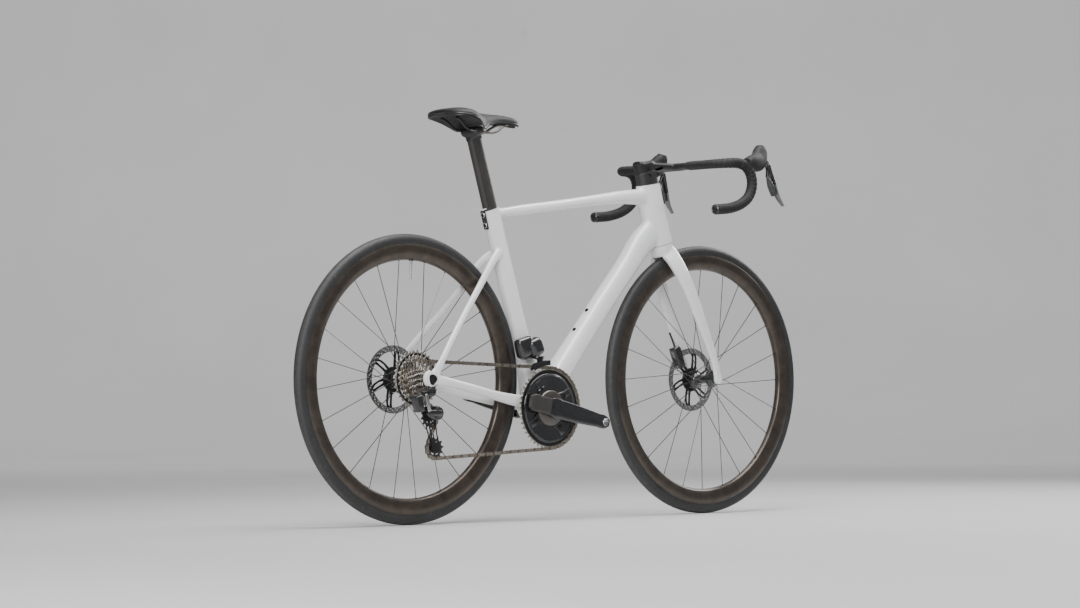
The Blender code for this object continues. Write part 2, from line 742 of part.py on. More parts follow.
def fork():
    shapes = []
    for side in (-1, 1):
        leg = [
            (*steer_point(0.6600, 0.0, side * 0.0060), 0.0150, 0.0220),
            (0.362, side * 0.0265, 0.6480, 0.0135, 0.0235),
            (0.3765, side * 0.0400, 0.6150, 0.0105, 0.0215),
            (0.3980, side * 0.0470, 0.5680, 0.0090, 0.0195),
            (0.4250, side * 0.0510, 0.5100, 0.0085, 0.0175),
            (0.4600, side * 0.0545, 0.4330, 0.0075, 0.0140),
            (0.4820, side * 0.0560, 0.3800, 0.0062, 0.0118),
            (0.4929, side * 0.0560, 0.3390, 0.0055, 0.0120),
        ]
        shapes.append(loft("fork leg", leg, WHITE, 12, 2.4, True))
        dropout = FRONT_AXLE + SIDE * (side * 0.0560)
        shapes.append(cylinder("fork dropout", dropout, 0.0125, 0.0110, WHITE, 16, True))
    shapes.append(cylinder("steerer", steer_point(0.770), 0.0143, 0.212, CARBON, 16, True, STEER_DIRECTION))
    crown = [
        (*steer_point(0.6560, -0.001), 0.0265, 0.0240),
        (*steer_point(0.6660), 0.0275, 0.0300),
        (*steer_point(HEAD_TUBE_BOTTOM_Z - 0.0008), 0.0275, 0.0318),
    ]
    made = boolean(loft("fork", crown, WHITE, 16, 2.2), "UNION", shapes)
    cutters = [
        cylinder("front wheel room", FRONT_AXLE, WHEEL_RADIUS + 0.0075, 0.036, WHITE, 32, True),
        cylinder("front axle bore", FRONT_AXLE, 0.0065, 0.16, WHITE, 12, True),
    ]
    return boolean(made, "DIFFERENCE", cutters)


def bar_route(side):
    """The bar's centre line on one side, from the tops to the end of the drop."""
    return [
        (BAR_X, side * 0.0300, BAR_Z - 0.001),
        (BAR_X, side * 0.0620, BAR_Z),
        (BAR_X, side * 0.1250, BAR_Z),
        (BAR_X + 0.001, side * 0.1620, BAR_Z),
        (0.4000, side * 0.1870, BAR_Z),
        (0.4270, side * 0.1955, BAR_Z - 0.001),
        (0.4500, side * 0.1985, 0.8665),
        (0.4640, side * 0.2015, 0.8460),
        (0.4650, side * 0.2045, 0.8170),
        (0.4530, side * 0.2080, 0.7870),
        (0.4300, side * 0.2105, 0.7670),
        (0.3950, side * 0.2125, 0.7580),
        (0.3250, side * BAR_HALF_WIDTH, 0.7550),
    ]


BAR_HALF_DEPTHS = [0.0200, 0.0200, 0.0190, 0.0165, 0.0130] + [0.0118] * 8
BAR_HALF_HEIGHTS = [0.0100, 0.0092, 0.0094, 0.0102, 0.0114] + [0.0118] * 8


def bar_stations(side):
    """The bar's stations from its middle, so that its tape follows the same sections."""
    rows = list(zip(bar_route(side), BAR_HALF_HEIGHTS, BAR_HALF_DEPTHS))
    stations = [(*place, half_height, half_depth) for place, half_height, half_depth in rows]
    return [(BAR_X, -side * 0.004, BAR_Z - 0.001, 0.0105, 0.0205), *stations]


def spacer_stations(grow=0.0):
    return [
        (*steer_point(HEAD_TUBE_TOP_Z + 0.0008), 0.0240 + grow, 0.0380 + grow),
        (*steer_point(0.8440), 0.0225 + grow, 0.0350 + grow),
        (*steer_point(SPACER_TOP_Z + grow - GAP), 0.0205 + grow, 0.0315 + grow),
    ]


def handlebar():
    """The one-piece bar and stem, whose clamp block carries on the spacer's outline."""
    shapes = [
        loft("bar half", bar_stations(side), CARBON, 8, 2.1, True, (0, 0, 1), carried=True)
        for side in (-1, 1)
    ]
    stem = [
        (0.2960, 0, 0.8745, 0.0160, 0.0080),
        (0.3300, 0, 0.8740, 0.0185, 0.0090),
        (0.3600, 0, 0.8735, 0.0230, 0.0095),
        (0.3950, 0, 0.8735, 0.0380, 0.0085),
    ]
    shapes.append(loft("stem", stem, CARBON, 12, 2.8, True))
    block = [
        (*steer_point(SPACER_TOP_Z + GAP), 0.0205, 0.0315),
        (*steer_point(0.8700), 0.0200, 0.0310),
        (*steer_point(0.8800), 0.0190, 0.0290),
        (*steer_point(0.8835), 0.0165, 0.0250),
    ]
    made = boolean(loft("handlebar", block, CARBON, 16, 2.2), "UNION", shapes)
    cutters = [
        cylinder("stem bore", steer_point(0.850), 0.0146, 0.0500, CARBON, 16, True, STEER_DIRECTION),
        loft("spacer room", spacer_stations(GAP), MATT, 16, 2.2, True),
    ]
    return boolean(made, "DIFFERENCE", cutters)


def steering_fittings():
    made = loft("headset_spacer", spacer_stations(), MATT, 16, 2.2)
    hole = cylinder("spacer hole", steer_point(0.85), 0.0146, 0.06, MATT, 16, True, STEER_DIRECTION)
    boolean(made, "DIFFERENCE", [hole])
    for name, side in (("left", 1), ("right", -1)):
        tape(name, side)
        end = Vector(bar_route(side)[-1])
        along = (end - Vector(bar_route(side)[-2])).normalized()
        cylinder("bar_end_plug_" + name, end + along * 0.0045, 0.0148, 0.0080, MATT, 16, axis=along)


def tape(name, side):
    """The wrapped tape, a sleeve round the bar from the tops to the end."""
    stations = bar_stations(side)[2:]
    return sleeve("bar_tape_" + name, stations, 0.0013, 0.0031, RUBBER, 8, 2.1, (0, 0, 1))


def controls():
    """Hoods, brake levers and the shift paddles behind them."""
    for name, side in (("left", 1), ("right", -1)):
        hood = [
            (0.4545, side * 0.1985, 0.8830, 0.0130, 0.0080),
            (0.4705, side * 0.1960, 0.8835, 0.0160, 0.0140),
            (0.4900, side * 0.1910, 0.8840, 0.0165, 0.0190),
            (0.5100, side * 0.1850, 0.8890, 0.0160, 0.0210),
            (0.5240, side * 0.1785, 0.9030, 0.0150, 0.0180),
            (0.5305, side * 0.1735, 0.9160, 0.0125, 0.0130),
            (0.5320, side * 0.1715, 0.9240, 0.0070, 0.0070),
        ]
        made = loft("lever_hood_" + name, hood, RUBBER, 12, 2.3)
        stations = [(*station[:3], 0.0153, 0.0153) for station in bar_stations(side)[5:11]]
        room = loft("hood room", stations, RUBBER, 8, 2.1, True, (0, 0, 1), carried=True)
        boolean(made, "DIFFERENCE", [room])
        blade = [
            (0.5385, side * 0.1845, 0.8860, 0.0060, 0.0040),
            (0.5430, side * 0.1850, 0.8750, 0.0080, 0.0050),
            (0.5480, side * 0.1865, 0.8580, 0.0085, 0.0048),
            (0.5590, side * 0.1900, 0.8270, 0.0090, 0.0035),
            (0.5690, side * 0.1925, 0.7990, 0.0085, 0.0030),
            (0.5880, side * 0.1950, 0.7745, 0.0050, 0.0025),
        ]
        loft("brake_lever_" + name, blade, GLOSS, 10, 2.4)
        paddle = [
            (0.5350, side * 0.1900, 0.8480, 0.0035, 0.0020),
            (0.5430, side * 0.1945, 0.8230, 0.0110, 0.0020),
            (0.5530, side * 0.1965, 0.7980, 0.0095, 0.0018),
        ]
        loft("shift_paddle_" + name, paddle, MATT, 8, 3.0)


# Saddle

# Each row of the saddle: x, half width, height of its crown and height of its lower edge.
SADDLE_ROWS = (
    (-0.3920, 0.0280, 0.9755, 0.9690),
    (-0.3870, 0.0470, 0.9780, 0.9680),
    (-0.3740, 0.0630, 0.9815, 0.9655),
    (-0.3560, 0.0700, 0.9835, 0.9610),
    (-0.3400, 0.0705, 0.9830, 0.9530),
    (-0.3225, 0.0680, 0.9810, 0.9370),
    (-0.3090, 0.0610, 0.9785, 0.9305),
    (-0.2920, 0.0520, 0.9760, 0.9300),
    (-0.2810, 0.0465, 0.9750, 0.9345),
    (-0.2720, 0.0420, 0.9740, 0.9500),
    (-0.2500, 0.0330, 0.9730, 0.9540),
    (-0.2200, 0.0260, 0.9725, 0.9550),
    (-0.1900, 0.0225, 0.9710, 0.9555),
    (-0.1650, 0.0190, 0.9680, 0.9550),
    (-0.1500, 0.0130, 0.9630, 0.9535),
    (-0.1455, 0.0070, 0.9600, 0.9535),
)


def saddle_arch(half, crown, edge, points, channel):
    """Half an oval from one lower edge over the crown to the other, with a channel along its middle."""
    arch = []
    for k in range(points):
        across, up = squircle(pi * k / (points - 1), 2.2)
        groove = channel * max(0.0, 1 - (across * half / 0.011) ** 2)
        arch.append((-across * half, edge + (crown - edge) * abs(up) - groove))
    return arch


def saddle_form(name, material, rows, points, side_inset, drop, wall, channel):
    """A wall of the saddle's shape, set in from its rows by an inset at the sides and a drop at the crown."""
    work = bmesh.new()
    rings = []
    for x, half, crown, edge in rows:
        top = max(crown - drop, edge + 0.0030)
        outer = saddle_arch(half - side_inset, top, edge, points, channel)
        inner_top = max(top - wall, edge + 0.0012)
        inner = saddle_arch(half - side_inset - min(wall, 0.0035), inner_top, edge, points, 0.0)
        rings.append([work.verts.new((x, y, z)) for y, z in outer + inner[::-1]])
    join_rings(work, rings)
    for ends in (rings[0], rings[-1]):
        for k in range(points - 1):
            work.faces.new((ends[k], ends[k + 1], ends[-2 - k], ends[-1 - k]))
    return smooth(add_object(name, mesh_from(name, work), material), radians(50))


def saddle_and_post():
    loft("seatpost", post_stations(POST_BOTTOM_Z, POST_TOP_Z), CARBON, 16, 2.4)
    saddle_form("saddle_cover", RUBBER, SADDLE_ROWS, 15, 0.0, 0.0, 0.0080, 0.0030)
    saddle_form("saddle_shell", MATT, SADDLE_ROWS[2:-3], 9, 0.0045, 0.0090, 0.0022, 0.0)
    half_rail = [
        (-0.3620, 0.0275, 0.9565),
        (-0.3450, 0.0250, 0.9480),
        (-0.3290, 0.0225, 0.9350),
        (-0.3160, 0.0220, RAIL_Z),
        (-0.2290, 0.0220, RAIL_Z),
        (-0.2120, 0.0190, 0.9400),
        (-0.1960, 0.0140, 0.9480),
        (-0.1820, 0.0060, 0.9495),
    ]
    rails = half_rail + [(x, -y, z) for x, y, z in reversed(half_rail)]
    wire("saddle_rails", [rails], 0.0035, STEEL, sides=8)
    centre = seat_point(RAIL_Z)
    head = [
        (*seat_point(POST_TOP_Z + GAP, 0.0003), POST_HALF_WIDTH, POST_HALF_DEPTH),
        (*seat_point(0.9175, 0.0003), 0.0150, 0.0175),
        (*seat_point(0.9230, 0.0003), 0.0290, 0.0190),
        (*seat_point(0.9340, 0.0003), 0.0290, 0.0190),
        (*seat_point(0.9365, 0.0003), 0.0260, 0.0170),
    ]
    clamp = loft("saddle_clamp", head, ALLOY, 12, 3.0)
    for side in (-1, 1):
        rail_at = centre + SIDE * (side * 0.0220)
        room = cylinder("rail room", rail_at, 0.0039, 0.10, STEEL, 12, True, (1, 0, 0))
        boolean(clamp, "DIFFERENCE", [room])


# Brakes


def brakes():
    front_at = (0.4440, 0.0398, 0.3950)
    front = box("front_brake_caliper", front_at, (0.0240, 0.0230, 0.0560), MATT, radians(-22), 0.003)
    slot_at = (0.4540, FRONT_ROTOR_Y, 0.3850)
    slot = box("front rotor room", slot_at, (0.060, 0.0040, 0.075), MATT, helper=True)
    leg_room = cylinder("spoke room", FRONT_AXLE, 0.030, 0.2, MATT, 16, True)
    boolean(front, "DIFFERENCE", [slot, leg_room])
    rear_at = (-0.4080, 0.0545, 0.3560)
    rear = box("rear_brake_caliper", rear_at, (0.0620, 0.0250, 0.0260), MATT, radians(8), 0.003)
    slot_at = (-0.4320, REAR_ROTOR_Y, 0.3500)
    slot = box("rear rotor room", slot_at, (0.050, 0.0040, 0.060), MATT, helper=True)
    boolean(rear, "DIFFERENCE", [slot])
    front_hose = [
        (0.4340, 0.0400, 0.4230),
        (0.4300, 0.0400, 0.4330),
        (0.4240, 0.0405, 0.4450),
        (0.4180, 0.0415, 0.4580),
    ]
    wire("front_brake_hose", [front_hose], 0.0025, RUBBER, sides=6)
    rear_hose = [
        (-0.3765, 0.0540, 0.3560),
        (-0.3650, 0.0530, 0.3550),
        (-0.3500, 0.0510, 0.3500),
        (-0.3380, 0.0480, 0.3420),
    ]
    wire("rear_brake_hose", [rear_hose], 0.0025, RUBBER, sides=6)


# Drivetrain


def around_bracket(radius, angle):
    """A point in (x, z) round the crank's axis."""
    return BRACKET.x + radius * cos(angle), BRACKET.z + radius * sin(angle)


def ring_plate(name, outline, y, inner):
    """A chainring: its rim with four bolt tabs reaching inward."""
    opening = []
    tab = ((-0.55, inner), (-0.20, inner), (-0.13, 0.0480), (0.13, 0.0480), (0.20, inner), (0.55, inner))
    for k in range(4):
        middle = pi / 4 + k * pi / 2 - CRANK_DROOP
        opening += [around_bracket(radius, middle + turn) for turn, radius in tab]
    return plate(name, [outline, opening], 0.0018, y, ALLOY)


def crank_arm(name, side, heading):
    """One arm from the spindle boss to the pedal eye, with a flat outer face round the eye."""
    along = Vector((cos(heading), 0, sin(heading)))
    y = side * 0.0660
    stations = [
        (*(BRACKET + along * -0.0230), 0.0055, 0.0130),
        (*(BRACKET + along * -0.0170), 0.0062, 0.0185),
        (*BRACKET, 0.0065, 0.0220),
        (*(BRACKET + along * 0.0300), 0.0065, 0.0205),
        (*(BRACKET + along * 0.0900), 0.0062, 0.0165),
        (*(BRACKET + along * (CRANK_LENGTH - 0.012)), 0.0060, 0.0150),
        (*(BRACKET + along * (CRANK_LENGTH + 0.006)), 0.0060, 0.0125),
        (*(BRACKET + along * (CRANK_LENGTH + 0.0125)), 0.0055, 0.0070),
    ]
    stations = [(x, y, z, width, depth) for x, _, z, width, depth in stations]
    made = loft(name, stations, GLOSS, 12, 4.0)
    eye_at = BRACKET + along * CRANK_LENGTH + SIDE * y
    eye = cylinder(name + " pedal thread", eye_at, 0.0068, 0.04, GLOSS, 12, True)
    return made, eye


def cranks():
    right_heading = -CRANK_DROOP
    right, eye = crank_arm("crank_arm_right", -1, right_heading)
    boss = cylinder("right boss", BRACKET + SIDE * -0.0588, 0.0205, 0.0092, GLOSS, 16, True)
    boolean(right, "UNION", [boss])
    boolean(right, "DIFFERENCE", [eye])
    left, eye = crank_arm("crank_arm_left", 1, right_heading + pi)
    boss = cylinder("left boss", BRACKET + SIDE * 0.0562, 0.0170, 0.0100, GLOSS, 16, True)
    spindle = cylinder("spindle", BRACKET + SIDE * 0.0030, 0.0146, 0.1070, GLOSS, 16, True)
    boolean(left, "UNION", [boss, spindle])
    boolean(left, "DIFFERENCE", [eye])
    reach = 0.0575
    outline = []
    for k in range(4):
        middle = pi / 4 + k * pi / 2 - CRANK_DROOP
        for turn, radius in ((-0.55, 0.0265), (-0.15, reach), (0.15, reach), (0.55, 0.0265)):
            outline.append(around_bracket(radius, middle + turn))
    hole = circle(BRACKET.x, BRACKET.z, 0.0193, 20)
    plate("crank_spider", [outline, hole], 0.0048, -CHAIN_LINE - 0.0036, ALLOY)
    large = teeth_outline(BRACKET, RING_TEETH, PHASES["ring"])
    ring_plate("chainring_large", large, -CHAIN_LINE, 0.0800)
    small = circle(BRACKET.x, BRACKET.z, pitch_radius(SMALL_RING_TEETH) + 0.0015, SMALL_RING_TEETH)
    ring_plate("chainring_small", small, -CHAIN_LINE + 0.0070, 0.0600)


def cassette():
    """Twelve sprockets on one carrier."""
    phase = PHASES["sprocket"]
    drum = [(0.0340, -0.0262), (0.0300, -0.0380), (0.0200, -0.0500), (0.0150, -0.0680)]
    drum += [(0.0134, -0.0680), (0.0134, -0.0262)]
    made = turned("cassette", drum, REAR_AXLE, STEEL, 8, ring=True)
    for i, teeth in enumerate(CASSETTE_TEETH):
        y = -(CASSETTE_OUTER_Y - i * SPROCKET_STEP)
        outline = teeth_outline(REAR_AXLE, teeth, phase)
        if i != GEAR_IN_USE:
            outline = circle(REAR_AXLE.x, REAR_AXLE.z, pitch_radius(teeth) + 0.0015, min(teeth, 20), phase)
        bore = circle(REAR_AXLE.x, REAR_AXLE.z, 0.0142, 8, pi / 8)
        sprocket = plate("sprocket", [outline, bore], 0.0016, y, STEEL, True)
        boolean(made, "UNION", [sprocket])
    return made


def jockey(name, teeth, which):
    centre = CENTRES[which]
    outlines = [teeth_outline(centre, teeth, PHASES[which]), circle(centre.x, centre.z, 0.0029, 8)]
    return plate(name, outlines, 0.0018, GEAR_Y, MATT)


def rear_derailleur():
    knuckle_at = KNUCKLE + SIDE * -0.06055
    knuckle = cylinder("rear_derailleur_knuckle", knuckle_at, 0.0165, 0.0299, GLOSS, 20)
    arm_at = (-0.4800, -0.0785, 0.2600)
    arm = box("knuckle arm", arm_at, (0.0380, 0.0110, 0.0150), GLOSS, radians(6), 0.001, True)
    boolean(knuckle, "UNION", [arm])
    guide, tension = CENTRES["guide"], CENTRES["tension"]
    along = (tension - guide).normalized()
    across = Vector((-along.z, 0, along.x))
    outline = []
    for end, way, width in ((guide, -1, 0.0175), (tension, 1, 0.0125)):
        for k in range(5):
            turn = (k - 2) * pi / 5
            point = end + (along * cos(turn) * way + across * sin(turn) * way) * width
            outline.append((point.x, point.z))
    outer = plate("rear_derailleur_cage", [outline], 0.0020, GEAR_Y - 0.0060, MATT)
    inner = plate("inner cage plate", [outline], 0.0016, GEAR_Y + 0.0058, MATT, True)
    pins = []
    for at in (guide, tension):
        pins.append(cylinder("cage pin", at + SIDE * GEAR_Y, 0.0024, 0.0118, MATT, 8, True))
    boolean(outer, "UNION", [inner, *pins])
    jockey("guide_pulley", GUIDE_TEETH, "guide")
    jockey("tension_pulley", TENSION_TEETH, "tension")
    mount = cylinder("rear_derailleur_mount", (-0.4985, -0.0870, 0.3085), 0.0105, 0.0120, GLOSS, 16)
    arm_at = (-0.5110, -0.0828, 0.3045)
    arm = box("mount arm", arm_at, (0.0260, 0.0030, 0.0120), GLOSS, radians(-10), 0.001, True)
    boolean(mount, "UNION", [arm])
    lean = radians(-14)
    battery_at = (-0.5380, -0.0850, 0.2815)
    box("rear_derailleur_battery", battery_at, (0.0180, 0.0230, 0.0380), MATT, lean, 0.003)
    link_at = (-0.5095, -0.0880, 0.2835)
    box("rear_derailleur_outer_link", link_at, (0.0090, 0.0036, 0.0420), ALLOY, lean, 0.0008)


def front_derailleur():
    lean = radians(-16)
    body_at = (-0.1570, -0.0340, 0.4160)
    body = box("front_derailleur_body", body_at, (0.0400, 0.0240, 0.0460), MATT, lean, 0.005)
    ledge_at = (-0.1500, -0.0350, 0.3930)
    ledge = box("body ledge", ledge_at, (0.0220, 0.0200, 0.0100), MATT, lean, 0.001, True)
    boolean(body, "UNION", [ledge])
    battery_at = (-0.1220, -0.0380, 0.4200)
    box("front_derailleur_battery", battery_at, (0.0220, 0.0240, 0.0330), MATT, lean, 0.004)
    guides = []
    for low in (0.1030, 0.0960):
        sector = [around_bracket(0.1150, radians(angle)) for angle in (90, 100, 110, 120)]
        sector += [around_bracket(low, radians(angle)) for angle in (120, 110, 100, 90)]
        guides.append(sector)
    cage = plate("front_derailleur_cage", [guides[0]], 0.0016, -CHAIN_LINE - 0.0052, STEEL)
    inner = plate("inner chain guide", [guides[1]], 0.0016, -CHAIN_LINE + 0.0052, STEEL, True)
    bridge_x, bridge_z = around_bracket(0.1130, radians(104))
    bridge_at = (bridge_x, -CHAIN_LINE, bridge_z)
    bridge = box("guide bridge", bridge_at, (0.016, 0.0110, 0.0024), STEEL, helper=True)
    boolean(cage, "UNION", [inner, bridge])


frame()
frame_fittings()
bearing("headset_bearing_upper", 0.8260, 0.0222)
bearing("headset_bearing_lower", 0.6880, 0.0222)
fork()
handlebar()
steering_fittings()
controls()
saddle_and_post()
wheels()
brakes()
cranks()
cassette()
chain()
rear_derailleur()
front_derailleur()
print(LINKS, "chain links, cage at", round(degrees(CAGE_ANGLE), 2), "degrees")
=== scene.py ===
import bpy, bmesh, math
from math import cos, sin, pi, radians
from mathutils import Matrix, Vector


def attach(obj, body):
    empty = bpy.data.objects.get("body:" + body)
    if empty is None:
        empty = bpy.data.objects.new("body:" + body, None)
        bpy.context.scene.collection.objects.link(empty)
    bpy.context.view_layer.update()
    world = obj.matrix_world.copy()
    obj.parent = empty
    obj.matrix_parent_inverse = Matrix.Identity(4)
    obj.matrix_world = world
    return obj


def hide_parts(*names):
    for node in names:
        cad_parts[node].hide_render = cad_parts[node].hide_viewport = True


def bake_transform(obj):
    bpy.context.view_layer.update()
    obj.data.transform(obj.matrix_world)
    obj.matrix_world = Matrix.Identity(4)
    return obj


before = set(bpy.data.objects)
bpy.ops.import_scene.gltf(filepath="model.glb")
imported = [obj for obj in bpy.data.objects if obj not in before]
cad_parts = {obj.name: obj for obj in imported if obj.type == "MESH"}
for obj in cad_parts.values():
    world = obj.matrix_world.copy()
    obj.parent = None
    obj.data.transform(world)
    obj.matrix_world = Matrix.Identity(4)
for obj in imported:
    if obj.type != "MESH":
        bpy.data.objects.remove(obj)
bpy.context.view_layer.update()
print("frame loaded:", len(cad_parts), "nodes")

layout = {  # metres and degrees, as in the solids
    "wheelbase": 0.9858, "wheelRadius": 0.339, "bracket": (-0.0874, 0, 0.2694),
    "headAngle": 73.5, "seatAngle": 73, "forkOffset": 0.045,
}
side = Vector((0, 1, 0))
driveSide = (0, -1, 0)
rearAxle = Vector((-layout["wheelbase"] / 2, 0, layout["wheelRadius"]))
frontAxle = Vector((layout["wheelbase"] / 2, 0, layout["wheelRadius"]))
bracket = Vector(layout["bracket"])
headAngle, seatAngle = radians(layout["headAngle"]), radians(layout["seatAngle"])
steerWay = Vector((-cos(headAngle), 0, sin(headAngle)))
steerAhead = Vector((sin(headAngle), 0, cos(headAngle)))
seatLean = -math.atan2(cos(seatAngle), sin(seatAngle))
seatUp, seatFront = Vector((-0.292, 0, 0.956)), Vector((0.956, 0, 0.292))


def steerPoint(z, ahead=0.0, y=0.0):  # a point on the steering axis at this height
    foot = frontAxle - steerAhead * layout["forkOffset"]
    return foot + steerWay * ((z - foot.z) / steerWay.z) + steerAhead * ahead + side * y


def seatPoint(z, ahead=0.0, y=0.0):  # a point on the seat tube's centre line
    return Vector((bracket.x - (z - bracket.z) / math.tan(seatAngle) + ahead, y, z))


# tools for modelling

def alone(piece):  # makes it the only selected piece
    bpy.ops.object.select_all(action="DESELECT")
    piece.select_set(True)
    bpy.context.view_layer.objects.active = piece
    return piece


def applyModifiers(piece):
    alone(piece)
    for modifier in list(piece.modifiers):
        bpy.ops.object.modifier_apply(modifier=modifier.name)
    return piece


def settle(piece):  # object at the origin, place in its mesh
    alone(piece)
    bpy.ops.object.transform_apply(location=True, rotation=True, scale=True)
    return piece


def smoothed(piece, angle=40):
    alone(piece)
    bpy.ops.object.shade_smooth_by_angle(angle=radians(angle))
    return piece


def joined(name, pieces):
    alone(pieces[0])
    for piece in pieces:
        piece.select_set(True)
    if len(pieces) > 1:
        bpy.ops.object.join()
    made = bpy.context.view_layer.objects.active
    made.name = name
    return made


def copied(piece, name, move=None):
    again = piece.copy()
    again.data = piece.data.copy()
    again.name = name
    bpy.context.scene.collection.objects.link(again)
    if move is not None:
        again.data.transform(move)
    return again


def inScene(name, data):  # a new object for a mesh or a curve, selected alone
    piece = bpy.data.objects.new(name, data)
    bpy.context.scene.collection.objects.link(piece)
    return alone(piece)


def facedOut(piece, merge=True):  # merges doubled points and turns every face outward
    alone(piece)
    bpy.ops.object.mode_set(mode="EDIT")
    bpy.ops.mesh.select_all(action="SELECT")
    if merge:
        bpy.ops.mesh.remove_doubles(threshold=1e-6)
    bpy.ops.mesh.normals_make_consistent(inside=False)
    bpy.ops.object.mode_set(mode="OBJECT")
    return piece


def cut(piece, cutters):
    alone(piece)
    for cutter in cutters:
        cutter.hide_set(True)
        modifier = piece.modifiers.new("cut", "BOOLEAN")
        modifier.operation = "DIFFERENCE"
        modifier.object = cutter
        bpy.ops.object.modifier_apply(modifier=modifier.name)
        bpy.data.objects.remove(cutter, do_unlink=True)
    return piece


def trimmed(piece, spot, outward, reach):  # a flat cut, made only within reach of the spot
    alone(piece)
    bpy.ops.object.mode_set(mode="EDIT")
    bpy.ops.mesh.select_mode(type="VERT")
    bpy.ops.mesh.select_all(action="DESELECT")
    work = bmesh.from_edit_mesh(piece.data)
    for vertex in work.verts:
        vertex.select = (vertex.co - spot).length < reach
    work.select_flush(True)
    bmesh.update_edit_mesh(piece.data)
    bpy.ops.mesh.bisect(plane_co=spot, plane_no=outward, use_fill=True, clear_outer=True)
    bpy.ops.object.mode_set(mode="OBJECT")
    return piece


def clearedOf(piece, centre, radius, half):  # presses the surface back out of a wheel's room
    for vertex in piece.data.vertices:
        away = Vector((vertex.co.x - centre.x, 0, vertex.co.z - centre.z))
        if away.length < radius and abs(vertex.co.y) < half:
            vertex.co += away.normalized() * (radius - away.length)
    return piece


def softened(piece, spots, rounds):  # extra smoothing that fades out round each (centre, radius)
    group = piece.vertex_groups.new(name="soft")
    for vertex in piece.data.vertices:
        near = max(1 - (vertex.co - Vector(centre)).length / radius for centre, radius in spots)
        if near > 0:
            group.add([vertex.index], min(1.0, 2 * near), "REPLACE")
    smooth = piece.modifiers.new("smooth", "SMOOTH")
    smooth.factor, smooth.iterations, smooth.vertex_group = 0.5, rounds, "soft"
    applyModifiers(piece)
    piece.vertex_groups.clear()
    return piece


def bevelled(piece, width, segments):
    modifier = piece.modifiers.new("edges", "BEVEL")
    modifier.width, modifier.segments = width, segments
    modifier.limit_method, modifier.angle_limit = "ANGLE", radians(30)
    modifier.use_clamp_overlap = True
    return smoothed(applyModifiers(piece), 40)


def melted(piece, voxel, rounds):  # runs the tubes together with soft fillets, as moulded carbon has
    remesh = piece.modifiers.new("melt", "REMESH")
    remesh.mode, remesh.voxel_size = "VOXEL", voxel
    even = piece.modifiers.new("even", "SMOOTH")
    even.factor, even.iterations = 0.5, rounds
    applyModifiers(piece)
    bpy.ops.object.shade_smooth()
    return piece


def curved(rows, steps):  # a smooth curve through rows of numbers, spaced by their places
    spots = [0.0]
    for a, b in zip(rows, rows[1:]):
        spots.append(spots[-1] + max(math.dist(a[:3], b[:3]), 1e-6))
    slopes = []
    for i in range(len(rows)):
        before, after = max(i - 1, 0), min(i + 1, len(rows) - 1)
        early = spots[i] - spots[before] or spots[after] - spots[i]
        late = spots[after] - spots[i] or early
        one, two, three = rows[before], rows[i], rows[after]
        if before == i:
            slopes.append([(c - b) / late for b, c in zip(two, three)])
        elif after == i:
            slopes.append([(b - a) / early for a, b in zip(one, two)])
        else:
            slopes.append([((c - b) / late * early + (b - a) / early * late) / (early + late)
                           for a, b, c in zip(one, two, three)])
    dense = []
    for i in range(len(rows) - 1):
        span = spots[i + 1] - spots[i]
        for k in range(steps):
            t = k / steps
            h0, h1 = 2 * t ** 3 - 3 * t ** 2 + 1, t ** 3 - 2 * t ** 2 + t
            h2, h3 = -2 * t ** 3 + 3 * t ** 2, t ** 3 - t ** 2
            dense.append([h0 * a + h1 * span * m + h2 * b + h3 * span * n
                          for a, m, b, n in zip(rows[i], slopes[i], rows[i + 1], slopes[i + 1])])
    dense.append(list(rows[-1]))
    return dense


def ringFrames(rows, across, carried):  # centre, width way, depth way, way along and half sizes of each ring
    centres = [Vector(row[:3]) for row in rows]
    width = Vector(across)
    rings = []
    for i, row in enumerate(rows):
        along = (centres[min(i + 1, len(rows) - 1)] - centres[max(i - 1, 0)]).normalized()
        start = width if carried else Vector(across)
        width = (start - along * along.dot(start)).normalized()
        rings.append((centres[i], width, along.cross(width), along, row[3], row[4]))
    return rings


def loft(name, rows, sides=24, square=2.4, across=(0, 1, 0), steps=4, carried=False):
    # rings of vertices at each row of (x, y, z, half width, half depth), bridged in turn
    rows = curved([tuple(row) for row in rows], steps) if steps > 1 else rows
    rings = ringFrames(rows, across, carried)
    bpy.ops.object.select_all(action="DESELECT")
    bpy.ops.mesh.primitive_circle_add(vertices=sides, radius=1)
    piece = bpy.context.object
    piece.name = name
    bpy.ops.object.mode_set(mode="EDIT")
    bpy.ops.mesh.select_all(action="SELECT")
    bpy.ops.mesh.delete(type="VERT")
    for centre, width, depth, along, _, _ in rings:
        turn = Matrix((width, depth, along)).transposed().to_euler()
        bpy.ops.mesh.primitive_circle_add(vertices=sides, radius=1, location=centre, rotation=turn)
    bpy.ops.object.mode_set(mode="OBJECT")
    for k, (centre, width, depth, _, half, deep) in enumerate(rings):
        for vertex in piece.data.vertices[k * sides:(k + 1) * sides]:
            reach = vertex.co - centre
            u, v = reach.dot(width), reach.dot(depth)
            u = math.copysign(abs(u) ** (2 / square), u)
            v = math.copysign(abs(v) ** (2 / square), v)
            vertex.co = centre + width * u * half + depth * v * deep
    bpy.ops.object.mode_set(mode="EDIT")
    bpy.ops.mesh.select_all(action="SELECT")
    bpy.ops.mesh.bridge_edge_loops(type="SINGLE")
    bpy.ops.mesh.select_all(action="SELECT")
    bpy.ops.mesh.fill_holes(sides=0)
    bpy.ops.object.mode_set(mode="OBJECT")
    return smoothed(facedOut(piece, merge=False), 45)


